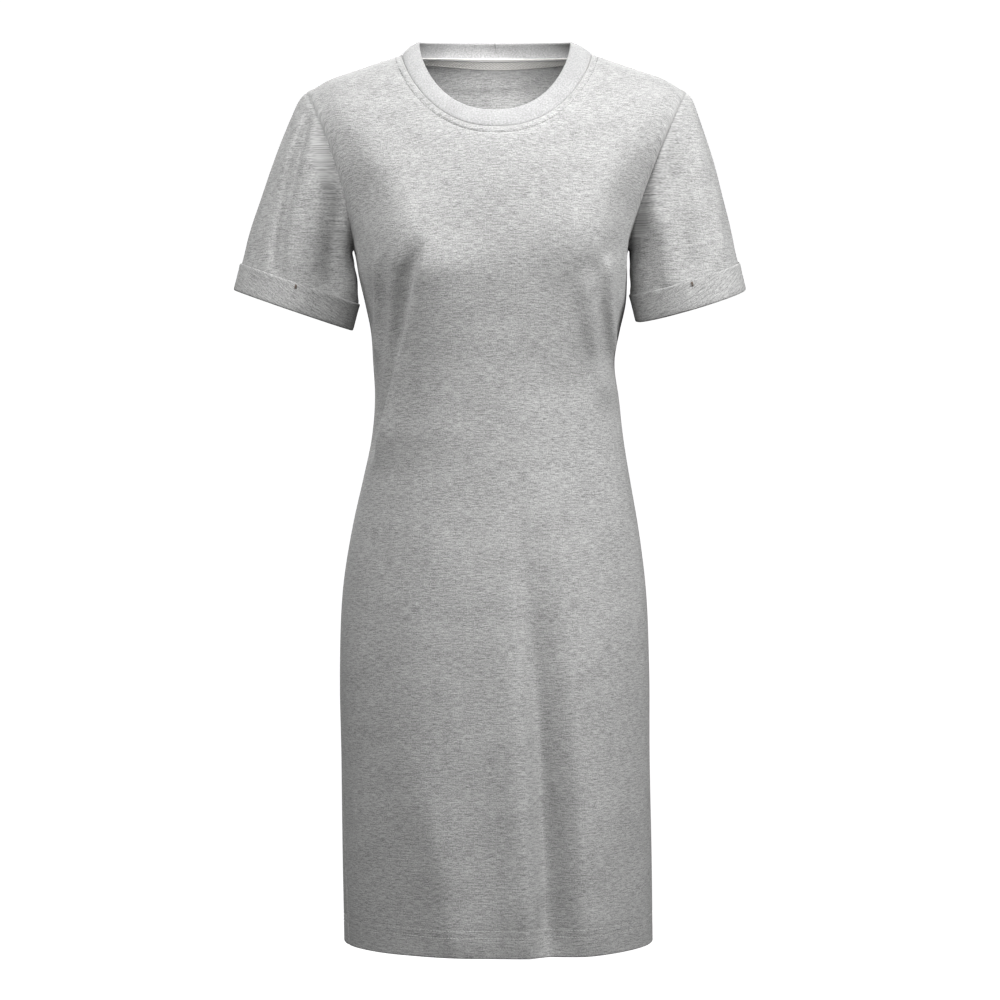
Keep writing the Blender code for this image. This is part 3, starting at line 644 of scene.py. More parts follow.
class Shells:
    """The dress's grids, worked out once: front, back, both sleeves and the neckline."""

    def __init__(self):
        sines = column_sines()
        self.sines = sines
        self.middle = len(sines) // 2
        self.neck = slice(self.middle - NECK_STEPS, self.middle + NECK_STEPS + 1)
        self.first = len(HEM_ROWS) + SKIRT_ROWS - 1
        self.cap = self.first + UNDERARM_ROWS
        self.columns = {}
        self.grids = {}
        self.calm = {}
        self.normals = {}
        for front in (True, False):
            sine, place = panel_grid(front, sines)
            self.columns[front] = (sine, place)
            self.grids[front] = panel(front, sine, place)
        self.neckline = np.concatenate([self.grids[True][-1, self.neck],
                                        self.grids[False][-1, self.neck][-2:0:-1]])
        share = (np.arange(SEAM_POINTS) / SEAM_POINTS)[:, None]
        self.seam = (self.neckline[:, None] * (1.0 - share)
                     + np.roll(self.neckline, -1, axis=0)[:, None] * share).reshape(-1, 3)
        for front in (True, False):
            grid = self.grids[front]
            outward = 1.0 if front else -1.0
            calm = grid_normals(grid, outward)
            calm[self.cap:] = form_normals(front, *(part[self.cap:]
                                                    for part in self.columns[front]))
            grid += calm * self.seam_relief(front)[..., None]
            self.calm[front] = calm
            self.normals[front] = grid_normals(grid, outward)
            self.normals[front][self.cap:] = calm[self.cap:]
        self.share_seams()

    def seam_relief(self, front):
        """Grooves at the armholes, shoulders and sides, the neckline's ridge, the hem's rows.

        All of it fades out beside the neck points, where the band covers the seams.
        """
        grid = self.grids[front]
        relief = -SEAM_DIP * bump(edge_distances(grid), SEAM_WIDE)
        from_top = lengths_up(grid)
        from_top = from_top[-1] - from_top
        shoulder = np.abs(self.sines) > NECK_SHARE
        relief -= SEAM_DIP * bump(from_top, SEAM_WIDE) * shoulder
        relief[self.cap:] += neck_relief(nearest_distance(grid[self.cap:], self.seam))
        up = grid[..., 2] - HEM_Z
        for row in HEM_STITCHES:
            relief -= ROW_GROOVE * bump(up - row, SEAM_WIDE)
        from_point = nearest_distance(grid, self.neckline[[0, 2 * NECK_STEPS]])
        return relief * soft_step((from_point - NECK_POINT_FADE[0]) / NECK_POINT_FADE[1])

    def share_seams(self):
        """Give the front and back the same normals along the side and shoulder seams."""
        front, back = self.normals[True], self.normals[False]
        for column in (0, -1):
            shared = unit(front[:self.first, column] + back[:self.first, column])
            front[:self.first, column] = shared
            back[:self.first, column] = shared
        shared = unit(front[-1] + back[-1])
        shoulder = np.abs(self.sines) >= NECK_SHARE
        front[-1, shoulder] = shared[shoulder]
        back[-1, shoulder] = shared[shoulder]

    def armhole(self, column):
        """Points of an armhole from the shoulder tip down the front edge and up the back edge,
        and the turn of each, in shares of the ring."""
        down = self.grids[True][:self.first - 1:-1, column]
        up = self.grids[False][self.first + 1:-1, column]
        turn_down = (3.0 - self.columns[True][1][:self.first - 1:-1, column]) / 4.0
        turn_up = 0.5 + (self.columns[False][1][self.first + 1:-1, column] - 1.0) / 4.0
        return np.concatenate([down, up]), np.concatenate([turn_down, turn_up])


def cuff_ring(row, turns, lower, proud):
    """A tilted oval at the cuff's upper or lower edge, its front a little lower than its back."""
    cuff = {name: CUFFS[name][row] for name in CUFFS}
    turn = turns * 2.0 * math.pi
    slope = math.radians(cuff["slope"])
    out = (cuff["half"] + proud) * np.cos(turn)
    depth = cuff["y"] - (cuff["deep"] + proud) * np.sin(turn)
    x = cuff["x"] + cuff["side"] * out * math.cos(slope) + lower * cuff["way_x"]
    z = cuff["z"] + out * math.sin(slope) + lower * cuff["way_z"] + cuff["pitch"] * depth
    return np.stack([x, depth, z], axis=-1)


def sleeve_offset(row, turns, along):
    """How far the sleeve's folds and ripples push each point out."""
    out = np.zeros(turns.shape)
    for side, top, low, before, after, deep in zip(*SLEEVE_FOLDS.values()):
        if side != CUFFS["side"][row]:
            continue
        distance = turns - (top + (low - top) * along)
        fade = (soft_step(along / SLEEVE_FOLD_RISE)
                * soft_step((SLEEVE_FOLD_END - along) / SLEEVE_FOLD_RISE))
        out += deep * fade * bump(distance, np.where(distance < 0, before, after))
    calm = soft_step(along / SLEEVE_CALM) * soft_step((1.0 - along) / SLEEVE_CALM)
    for waves, length, phase, change, size in zip(*SLEEVE_RIPPLES.values()):
        angle = 2.0 * math.pi * (waves * turns + length * along) + phase + change * row
        out += size * calm * np.sin(angle)
    return out


def sleeve_form(row, ring, turns):
    """Outer points of a sleeve: each thread curves from the armhole out and down to the cuff.

    A thread is a cubic whose ends leave the armhole outwards and reach the cuff along its axis.
    """
    side = CUFFS["side"][row]
    start = ring + np.array([side * SHELL_GAP, 0.0, 0.0])
    end = cuff_ring(row, turns, 0.0, 0.0)
    fall = UNDERARM_FALL + (TIP_FALL - UNDERARM_FALL) * armhole_rise(start[:, 2])
    lean = np.stack([np.full(len(ring), side), SLEEVE_SPREAD * start[:, 1], -fall], axis=-1)
    way = unit(np.array([CUFFS["way_x"][row], 0.0, CUFFS["way_z"][row]]))
    length = np.linalg.norm(end - start, axis=1, keepdims=True)
    evenly = np.arange(1, SLEEVE_ROWS + 1) / SLEEVE_ROWS
    last = SLEEVE_SEAM_ROWS[-1]
    along = np.concatenate([SLEEVE_SEAM_ROWS, last + (1.0 - last) * evenly])[:, None, None]
    rise = along * along * (3.0 - 2.0 * along)
    points = (start * (1.0 - rise) + end * rise
              + unit(lean) * SLEEVE_START * length * along * (1.0 - along) ** 2
              + way * SLEEVE_END * length * along * along * (along - 1.0))
    around = np.broadcast_to(turns, points.shape[:2])
    push = sleeve_offset(row, around, np.broadcast_to(along[..., 0], around.shape))
    seam = np.linalg.norm(points - points[:1], axis=-1)
    push = push - SEAM_DIP * bump(seam, SEAM_WIDE)
    return points + ring_normals(points) * push[..., None]


def cells(index):
    """Corners of every cell of a grid of indices, in turn round the cell."""
    around = (index[:-1, :-1], index[:-1, 1:], index[1:, 1:], index[1:, :-1])
    return np.stack(around, axis=-1).reshape(-1, 4)


def closed(index, axis):
    """A grid of indices with its first line repeated at the end."""
    return np.concatenate([index, np.take(index, [0], axis=axis)], axis=axis)


def add_mesh(name, points, corners, starts, uvs, material):
    """A smooth mesh piece: its points, the corners of all faces in turn, where each face
    starts among them, and each corner's place on the cloth."""
    mesh = bpy.data.meshes.new(name)
    mesh.vertices.add(len(points))
    mesh.vertices.foreach_set("co", points.astype(np.float32).ravel())
    mesh.loops.add(len(corners))
    mesh.loops.foreach_set("vertex_index", corners.astype(np.int32))
    mesh.polygons.add(len(starts))
    mesh.polygons.foreach_set("loop_start", starts.astype(np.int32))
    layer = mesh.uv_layers.new(name="cloth")
    layer.data.foreach_set("uv", uvs.astype(np.float32).ravel())
    mesh.update(calc_edges=True)
    mesh.validate()
    mesh.shade_smooth()
    mesh.materials.append(material)
    piece = bpy.data.objects.new(name, mesh)
    bpy.context.scene.collection.objects.link(piece)
    return piece


def add_quads(name, points, quads, uvs, material):
    """A mesh piece of four-cornered faces, all turned outwards."""
    corners = points[quads]
    spread = np.cross(corners[:, 2] - corners[:, 0], corners[:, 3] - corners[:, 1])
    if np.sum(corners.mean(axis=1) * spread) < 0:
        quads = quads[:, ::-1]
        uvs = uvs[:, ::-1]
    return add_mesh(name, points, quads.ravel(), np.arange(0, quads.size, 4), uvs, material)


def add_shell(name, outer, inner, uv, material, ring=False, bulge=0.12):
    """A closed shell between two grids, with rounded rims: outer face, inner face, and along
    each rim a middle line that stands out by a share of the thickness."""
    rows, columns = outer.shape[:2]
    count = rows * columns
    index = np.arange(count).reshape(rows, columns)
    texture = np.arange(rows * uv.shape[1]).reshape(rows, -1)
    faces = closed(index, 1) if ring else index
    push = np.zeros(outer.shape)
    push[0] += unit(outer[0] - outer[1])
    push[-1] += unit(outer[-1] - outer[-2])
    if ring:
        lines = [(index[0], texture[0]), (index[-1, ::-1], texture[-1, ::-1])]
    else:
        push[:, 0] += unit(outer[:, 0] - outer[:, 1])
        push[:, -1] += unit(outer[:, -1] - outer[:, -2])
        lines = [tuple(np.concatenate([grid[0, :-1], grid[:-1, -1], grid[-1, :0:-1],
                                       grid[:0:-1, 0]]) for grid in (index, texture))]
    thick = np.linalg.norm(outer - inner, axis=-1, keepdims=True)
    swell = (outer + inner) / 2 + unit(push) * thick * bulge
    points = [outer.reshape(-1, 3), inner.reshape(-1, 3)]
    quads = [cells(faces), cells(faces)[:, ::-1] + count]
    places = [cells(texture), cells(texture)[:, ::-1]]
    base = 2 * count
    for line, print_line in lines:
        middle = base + np.arange(len(line))
        points.append(swell.reshape(-1, 3)[line])
        base += len(line)
        loop = [closed(part, 0) for part in (line, middle, line + count)]
        if len(print_line) == len(line):
            print_line = closed(print_line, 0)
        for near, far in ((0, 1), (1, 2)):
            quads.append(cells(np.stack([loop[far], loop[near]])))
            places.append(cells(np.stack([print_line, print_line])))
    quads = np.concatenate(quads)
    places = np.concatenate(places)
    return add_quads(name, np.concatenate(points), quads, uv.reshape(-1, 2)[places], material)


def add_loop(name, grid, uv, material):
    """A piece whose grid closes on itself both ways: a profile carried round a ring."""
    rows, columns = grid.shape[:2]
    index = closed(closed(np.arange(rows * columns).reshape(rows, columns), 1), 0)
    texture = np.arange((rows + 1) * (columns + 1)).reshape(rows + 1, columns + 1)
    return add_quads(name, grid.reshape(-1, 3), cells(index), uv.reshape(-1, 2)[cells(texture)],
                     material)


def declare(piece, node):
    """Hang a piece of cloth on the body and hide the part it was cut to."""
    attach(piece, BODY_NAME)
    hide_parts(node)


class Yarn:
    """A socket of a material. Arithmetic on it adds Math nodes; node() adds any other node."""

    def __init__(self, tree, socket):
        self.tree = tree
        self.socket = socket

    def node(self, kind, settings, inputs, output=0):
        """Add a node: its settings first, then the values or links of its sockets."""
        made = self.tree.nodes.new(kind)
        for name, value in settings.items():
            setattr(made, name, value)
        for name, value in inputs.items():
            if isinstance(value, Yarn):
                self.tree.links.new(value.socket, made.inputs[name])
            else:
                made.inputs[name].default_value = value
        return Yarn(self.tree, made.outputs[output])

    def math(self, operation, first, second=0.0):
        return self.node("ShaderNodeMath", {"operation": operation}, {0: first, 1: second})

    def __add__(self, other):
        return self.math("ADD", self, other)

    def __sub__(self, other):
        return self.math("SUBTRACT", self, other)

    def __mul__(self, other):
        return self.math("MULTIPLY", self, other)

    def __rsub__(self, other):
        return self.math("SUBTRACT", other, self)

    __radd__ = __add__
    __rmul__ = __mul__

    def grain(self, across, up, detail, shift):
        """Noise stretched on the cloth: counts per metre across and up, shifted aslant."""
        slope = 0.37
        place = self.node("ShaderNodeVectorMath", {"operation": "MULTIPLY_ADD"},
                          {0: self, 1: (across, up, 0.0), 2: (shift, shift * slope, 0.0)})
        return self.node("ShaderNodeTexNoise", {"noise_dimensions": "2D"},
                         {"Vector": place, "Scale": 1.0, "Detail": detail, "Roughness": 0.55})

    def blend(self, dark, light):
        """A colour between two, by this value."""
        return self.node("ShaderNodeMix", {"data_type": "RGBA", "clamp_factor": True},
                         {"Factor": self, 6: dark, 7: light}, output=2)


def start_material(name, roughness=0.92, sheen=0.15):
    """A matt cloth material: its shader node and the cloth's own place as a vector."""
    material = bpy.data.materials.new(name)
    material.use_nodes = True
    tree = material.node_tree
    shader = tree.nodes["Principled BSDF"]
    shader.inputs["Roughness"].default_value = roughness
    shader.inputs["Specular IOR Level"].default_value = 0.12
    shader.inputs["Sheen Weight"].default_value = sheen
    shader.inputs["Sheen Roughness"].default_value = 0.6
    place = Yarn(tree, None).node("ShaderNodeUVMap", {"uv_map": "cloth"}, {})
    return material, shader, place


def finish_material(shader, place, colour, relief, distance):
    """Link the colour and a bump relief to the shader."""
    raised = place.node("ShaderNodeBump", {}, {"Strength": 1.0, "Distance": distance,
                                               "Height": relief})
    place.tree.links.new(colour.socket, shader.inputs["Base Color"])
    place.tree.links.new(raised.socket, shader.inputs["Normal"])


def jersey_material(name, dark, light):
    """Heather jersey: short level streaks of darker and lighter yarn, fine specks, slow clouds."""
    material, shader, place = start_material(name)
    streak = place.grain(95.0, 720.0, 1.0, 3.1)
    thread = place.grain(240.0, 1150.0, 1.0, 17.3)
    speck = place.grain(760.0, 980.0, 0.0, 41.9)
    cloud = place.grain(16.0, 44.0, 2.0, 7.7)
    mix = 0.5 + (streak - 0.5) * 0.8 + (thread - 0.5) * 0.7 + (speck - 0.5) * 0.65
    mix = mix + (cloud - 0.5) * 0.25
    finish_material(shader, place, mix.blend(dark, light), thread + speck, 0.00012)
    return material


def rib_material(name, dark, light):
    """Fine rib: upright ribs and specks, with no level streaks."""
    material, shader, place = start_material(name)
    speck = place.grain(520.0, 640.0, 1.0, 5.3)
    rib = place.grain(900.0, 130.0, 1.0, 23.9)
    cloud = place.grain(60.0, 60.0, 2.0, 2.2)
    mix = 0.5 + (speck - 0.5) * 0.9 + (rib - 0.5) * 0.3 + (cloud - 0.5) * 0.3
    finish_material(shader, place, mix.blend(dark, light), rib + speck, 0.00015)
    return material


def tape_material(name, dark, light):
    """Herringbone tape: slanting ribs that turn back near the lower edge, with fine specks. Its
    ribs have painted highlight on their raised tops and painted shade in the grooves between.
    """
    material, shader, place = start_material(name, 0.88, 0.1)
    split = place.node("ShaderNodeSeparateXYZ", {}, {0: place})
    across = Yarn(split.tree, split.socket.node.outputs[0])
    down = Yarn(split.tree, split.socket.node.outputs[1])
    turned = TAPE_LOW * TAPE_TURN
    slant = down.math("ABSOLUTE", down - turned)
    rib_relief_and_shade = slant.math("SINE", (across + slant * TAPE_SLANT) * (2.0 * math.pi / TAPE_RIB))
    speck = place.grain(700.0, 900.0, 0.0, 9.1)
    ribbed = down.node("ShaderNodeMath", {"operation": "MULTIPLY_ADD", "use_clamp": True},
                       {0: down, 1: 1.0 / MM, 2: -TAPE_RIBS_FROM / MM})
    # Painted highlight and painted shade: the colour follows the ribs' relief, lighter on their
    # raised tops and darker in the grooves.
    mix = 0.5 + (rib_relief_and_shade * 0.42 - 0.3) * ribbed + 0.3 + (speck - 0.5) * 0.7
    finish_material(shader, place, mix.blend(dark, light), rib_relief_and_shade * ribbed, 0.0002)
    return material


def thread_material(name, colour):
    """Sewing thread: a twist of fine strands along each stitch."""
    material, shader, place = start_material(name, 0.7, 0.1)
    strand = place.grain(900.0, 2600.0, 1.0, 4.4)
    shade, shine = 0.72, 1.22
    dark = [channel * shade for channel in colour[:3]] + [1.0]
    light = [min(channel * shine, 1.0) for channel in colour[:3]] + [1.0]
    finish_material(shader, place, strand.blend(dark, light), strand, 0.0001)
    return material


def add_stitches(name, centres, along, upward, length, radius, material):
    """Stitches on a line: each a small closed pod, pointed at both ends, half sunk in the cloth.

    A pod's radius follows the sine of the way along it, and six sides go round it.
    """
    stations = np.array([0.0, 0.12, 0.35, 0.65, 0.88, 1.0])
    sides = 6
    angle = np.arange(sides) / sides * 2.0 * math.pi
    swell = np.sqrt(np.sin(np.clip(stations, 0.02, 0.98) * math.pi))
    forward = (stations - 0.5) * length
    arch = np.sin(stations * math.pi) * radius * 0.5
    along = unit(along)
    aside = unit(np.cross(upward, along))
    upward = unit(np.cross(along, aside))
    ring = swell[:, None] * radius
    offset = (forward[:, None, None] * along[:, None, None, :]
              + (ring * np.cos(angle))[..., None] * aside[:, None, None, :]
              + (ring * np.sin(angle) + arch[:, None])[..., None] * upward[:, None, None, :])
    grid = centres[:, None, None, :] + offset
    count = len(stations) * sides
    tips = centres[:, None, :] + np.array([-0.5, 0.5])[None, :, None] * length * along[:, None, :]
    index = np.arange(count).reshape(len(stations), sides)
    body = cells(closed(index, 1))
    each = count + 2
    lead = np.stack([np.full(sides, count), np.roll(index[0], -1), index[0]], axis=1)
    tail = np.stack([np.full(sides, count + 1), index[-1], np.roll(index[-1], -1)], axis=1)
    points = np.concatenate([grid.reshape(len(centres), -1, 3), tips], axis=1)
    shift = (np.arange(len(centres)) * each)[:, None, None]
    quads = (body[None] + shift).reshape(-1, 4)
    ends = (np.concatenate([lead, tail])[None] + shift).reshape(-1, 3)
    points = points.reshape(-1, 3)
    corners = np.concatenate([quads.ravel(), ends.ravel()])
    starts = np.concatenate([np.arange(len(quads)) * 4, quads.size + np.arange(len(ends)) * 3])
    piece = add_mesh(name, points, corners, starts, points[corners][:, (0, 2)], material)
    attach(piece, BODY_NAME)
    return piece


def even_stops(line, pitch, loop):
    """Points spaced evenly along a line, and the line's direction at each."""
    if loop:
        line = np.concatenate([line, line[:1]])
    steps = np.linalg.norm(np.diff(line, axis=0), axis=1)
    walk = np.concatenate([[0.0], np.cumsum(steps)])
    count = int(walk[-1] / pitch)
    stops = (np.arange(count) + 0.5) * walk[-1] / count
    near = pitch * 0.2
    centres, ahead, behind = (
        np.stack([np.interp(places, walk, line[:, axis]) for axis in range(3)], axis=-1)
        for places in (stops, stops + near, stops - near))
    return centres, ahead - behind


def snap(points, surface, normal):
    """Move points along the surface's normal onto the plane at their nearest grid point."""
    near = squares_between(points, surface).argmin(axis=1)
    gap = np.sum((points - surface[near]) * normal[near], axis=1, keepdims=True)
    return points - normal[near] * gap, normal[near]


def yarn_colour(name, description, value):
    """A colour of a property group."""
    return FloatVectorProperty(name=name, description=description, default=value, size=4,
                               subtype="COLOR", min=0.0, max=1.0)


class DressCloth(bpy.types.PropertyGroup):
    """Cloth sizes and colours of the dress."""
    cloth: FloatProperty(
        name="Jersey", description="Thickness of the jersey", default=1.2 * MM, unit="LENGTH")
    hem: FloatProperty(
        name="Hem", description="Thickness of the turned-up hem", default=2.2 * MM, unit="LENGTH")
    tape: FloatProperty(
        name="Tape", description="Thickness of the neck tape", default=0.9 * MM, unit="LENGTH")
    stitch: FloatProperty(
        name="Stitch", description="Length of one stitch", default=2.4 * MM, unit="LENGTH")
    thread: FloatProperty(
        name="Thread", description="Radius of the sewing thread", default=0.30 * MM, unit="LENGTH")
    jersey_dark: yarn_colour("Dark yarn", "Darker yarn of the jersey", (0.155, 0.155, 0.154, 1.0))
    jersey_light: yarn_colour("Light yarn", "Lighter yarn of the jersey", (0.50, 0.50, 0.495, 1.0))
    rib_dark: yarn_colour("Dark rib", "Darker yarn of the neckband", (0.19, 0.19, 0.19, 1.0))
    rib_light: yarn_colour("Light rib", "Lighter yarn of the neckband", (0.43, 0.43, 0.43, 1.0))
    # Painted shade and painted highlight of the tape's ribs: the dark colour goes in the grooves,
    # the light one on the raised tops.
    tape_painted_shade: yarn_colour("Dark tape", "Shaded rib of the tape", (0.31, 0.305, 0.29, 1.0))
    tape_painted_highlight: yarn_colour("Light tape", "Raised rib of the tape", (0.74, 0.725, 0.70, 1.0))
    seam_thread: yarn_colour("Seam thread", "Thread of the seams", (0.46, 0.46, 0.45, 1.0))
    # Painted shade: a thread darker than the cloth, standing for the shadow in the groove of the
    # neckline's lower stitch row and of the band's join.
    painted_shade_thread: yarn_colour("Low thread", "Thread deep in the cloth", (0.15, 0.15, 0.15, 1.0))
    tack_thread: yarn_colour("Tack thread", "Thread of the cuff tacks", (0.16, 0.13, 0.11, 1.0))


class DressStage(bpy.types.PropertyGroup):
    """Floor, light and camera."""
    floor_drop: FloatProperty(
        name="Floor", description="Floor below the hem", default=0.45, unit="LENGTH")
    key: FloatProperty(
        name="Key light", description="Power of the light from the right", default=49.0)
    sky: FloatProperty(name="Sky", description="Strength of the even light", default=0.04)


MATERIALS = {}
SHELLS = []


def shells():
    """The dress's grids, made on first use."""
    if not SHELLS:
        SHELLS.append(Shells())
    return SHELLS[0]


def material(kind):
    """One material of the dress, made on first use."""
    cloth = bpy.context.scene.dress_cloth
    makers = {
        "jersey": lambda: jersey_material("jersey_knit", cloth.jersey_dark, cloth.jersey_light),
        "rib": lambda: rib_material("rib_knit", cloth.rib_dark, cloth.rib_light),
        "tape": lambda: tape_material("herringbone_tape", cloth.tape_painted_shade, cloth.tape_painted_highlight),
        "seam": lambda: thread_material("seam_thread", cloth.seam_thread),
        # Dark thread: painted shade of the grooves its stitches lie in.
        "low": lambda: thread_material("painted_shade_thread", cloth.painted_shade_thread),
        "tack": lambda: thread_material("tack_thread", cloth.tack_thread),
    }
    if kind not in MATERIALS:
        MATERIALS[kind] = makers[kind]()
    return MATERIALS[kind]


class DRESS_OT_panels(bpy.types.Operator):
    """Add the front and the back, from the neckline to the turned-up hem"""
    bl_idname = "dress.panels"
    bl_label = "Front and back"

    def execute(self, context):
        cloth = context.scene.dress_cloth
        form = shells()
        for front, name, flat, area in ((True, "front", (0.48, 0.90), 0.36),
                                        (False, "back", (0.46, 0.92), 0.36)):
            grid = form.grids[front].copy()
            normal = form.normals[front]
            up = grid[..., 2] - HEM_Z
            thick = cloth.cloth + (cloth.hem - cloth.cloth) * soft_step(
                (HEM_ALLOWANCE - up) / HEM_STEP)
            inner = grid - normal * thick[..., None]
            apart = np.array([0.0, -SHELL_GAP if front else SHELL_GAP, 0.0])
            for points in (grid, inner):
                points[:form.first + 1, 0] += apart
                points[:form.first + 1, -1] += apart
                points[-1, :form.middle - NECK_STEPS + 1] += apart
                points[-1, form.middle + NECK_STEPS:] += apart
            uv = np.stack([lengths_across(grid, form.middle), lengths_up(grid)], axis=-1)
            uv[..., 0] += 0.0 if front else BACK_PLACE
            piece = add_shell(name + "_cloth", grid, inner, uv, material("jersey"))
            declare(piece, name)
        return {"FINISHED"}


class DRESS_OT_sleeves(bpy.types.Operator):
    """Add both sleeves, set into the armholes"""
    bl_idname = "dress.sleeves"
    bl_label = "Sleeves"

    def execute(self, context):
        cloth = context.scene.dress_cloth
        form = shells()
        for row, column, label in ((0, 0, "left"), (1, -1, "right")):
            ring, turns = form.armhole(column)
            grid = sleeve_form(row, ring, turns)
            inner = grid - ring_normals(grid) * cloth.cloth
            wrapped = np.concatenate([grid, grid[:, :1]], axis=1)
            around = lengths_across(wrapped, 0) + SLEEVE_PLACE + row
            uv = np.stack([around, wrapped[..., 2]], axis=-1)
            piece = add_shell("sleeve_" + label + "_cloth", grid, inner, uv, material("jersey"),
                              ring=True)
            declare(piece, "sleeve_" + label)
        return {"FINISHED"}


class DRESS_OT_cuffs(bpy.types.Operator):
    """Add both turned-up cuffs and their tacks"""
    bl_idname = "dress.cuffs"
    bl_label = "Cuffs"

    def execute(self, context):
        form = shells()
        for row, column, label in ((0, 0, "left"), (1, -1, "right")):
            turns = form.armhole(column)[1]
            profile = zip(CUFF_PROFILE["down"], CUFF_PROFILE["out"])
            grid = np.stack([cuff_ring(row, turns, down, out) for down, out in profile])
            mirrored = np.stack([cuff_ring(row, turns, 2.0 - down, 0.0)
                                 for down in CUFF_PROFILE["down"]])
            mirrored = closed(closed(mirrored, 1), 0)
            around = lengths_across(mirrored, 0) + CUFF_PLACE + row
            uv = np.stack([around, mirrored[..., 2]], axis=-1)
            piece = add_loop("cuff_" + label + "_cloth", grid, uv, material("jersey"))
            declare(piece, "cuff_" + label)
            lines = np.stack([cuff_ring(row, TACK_TURNS[row] + np.array([part]), down, TACK_OUT)[0]
                              for part in (-TACK_APART, 0.0, TACK_APART) for down in TACK_SPAN])
            lines = lines.reshape(3, 2, 3)
            tack = add_stitches("cuff_" + label + "_tack", lines.mean(axis=1),
                                lines[:, 1] - lines[:, 0], np.array([[0.0, -1.0, 0.0]] * 3),
                                TACK_LENGTH, TACK_RADIUS, material("tack"))
        return {"FINISHED"}


class DRESS_OT_neckband(bpy.types.Operator):
    """Add the folded neckband and the small seam that joins it at the centre back"""
    bl_idname = "dress.neckband"
    bl_label = "Neckband"

    def execute(self, context):
        cloth = context.scene.dress_cloth
        form = shells()
        lower = form.neckline
        turn = np.arange(-NECK_STEPS, NECK_STEPS + 1) / NECK_STEPS * math.pi / 2
        across = BAND_MIDDLE_X + BAND_HALF * np.sin(turn)
        bowl = (1.0 - np.abs(np.sin(turn)) ** NECK_SQUARE) ** BAND_BOWL
        front_z = BAND_SIDE_Z + (BAND_FRONT_Z - BAND_SIDE_Z) * bowl
        back_z = BAND_SIDE_Z + (BAND_BACK_Z - BAND_SIDE_Z) * np.cos(turn)
        front_edge = np.stack([across, -BAND_FRONT * np.cos(turn), front_z], axis=-1)
        back_edge = np.stack([across, BAND_BACK * np.cos(turn), back_z], axis=-1)
        upper = np.concatenate([front_edge, back_edge[-2:0:-1]])
        start = lower + unit(upper - lower) * SEAM_GAP
        sheet = np.stack([start, (start + upper) / 2, upper])
        own = ring_normals(sheet)
        grid = []
        for up, out in zip(BAND_PROFILE["up"], BAND_PROFILE["out"]):
            way = own[0] * (1.0 - up) ** 2 + own[1] * 2.0 * up * (1.0 - up) + own[2] * up * up
            crown = BAND_CROWN * 4.0 * up * (1.0 - up)
            grid.append(start * (1.0 - up) + upper * up + unit(way) * (out + crown))
        grid = np.stack(grid)
        wrapped = closed(closed(grid, 1), 0)
        up = lengths_up(wrapped)
        around = lengths_up(wrapped[BAND_MIDDLE_ROW][:, None])[:, 0]
        uv = np.stack([np.broadcast_to(around, up.shape), up], axis=-1)
        piece = add_loop("neckband_rib", grid, uv, material("rib"))
        declare(piece, "neckband")
        join = grid[BAND_JOIN_ROWS, 3 * NECK_STEPS]
        inward = np.broadcast_to(-own[1][3 * NECK_STEPS], join[1:].shape)
        # The join's stitches take the dark thread, painted shade of the seam they sink in.
        stitches = add_stitches("neckband_join_stitches", (join[1:] + join[:-1]) / 2,
                                join[1:] - join[:-1], inward, cloth.stitch * JOIN_LONGER,
                                cloth.thread * JOIN_THICKER, material("low"))
        return {"FINISHED"}


class DRESS_OT_neck_tape(bpy.types.Operator):
    """Add the herringbone tape over the back neck seam, inside"""
    bl_idname = "dress.neck_tape"
    bl_label = "Neck tape"

    def execute(self, context):
        cloth = context.scene.dress_cloth
        sines = NECK_SHARE * TAPE_SHARE * np.linspace(-1.0, 1.0, TAPE_COLUMNS)
        down = np.linspace(TAPE_TOP, TAPE_LOW, TAPE_ROWS)[:, None]
        grid = panel(False, *above_foot(False, sines, shares_below(False, sines, down)))
        inward = grid_normals(grid, 1.0)
        inward = inward * np.sign(-inward[..., 1].mean())
        across = lengths_across(grid, TAPE_COLUMNS // 2)
        slant = np.abs(down - TAPE_LOW * TAPE_TURN)
        rib = np.sin((across + slant * TAPE_SLANT) * 2.0 * math.pi / TAPE_RIB)
        edge = np.minimum(down - TAPE_RIBS_FROM, TAPE_LOW - down) / TAPE_EDGE
        rib = rib * soft_step(edge) * TAPE_RELIEF
        near = grid + inward * (cloth.cloth + TAPE_GAP)
        far = near + inward * (cloth.tape + rib)[..., None]
        uv = np.stack([across, np.broadcast_to(down, across.shape)], axis=-1)
        piece = add_shell("neck_tape_cloth", far, near, uv, material("tape"), bulge=0.4)
        declare(piece, "neck_tape")
        return {"FINISHED"}


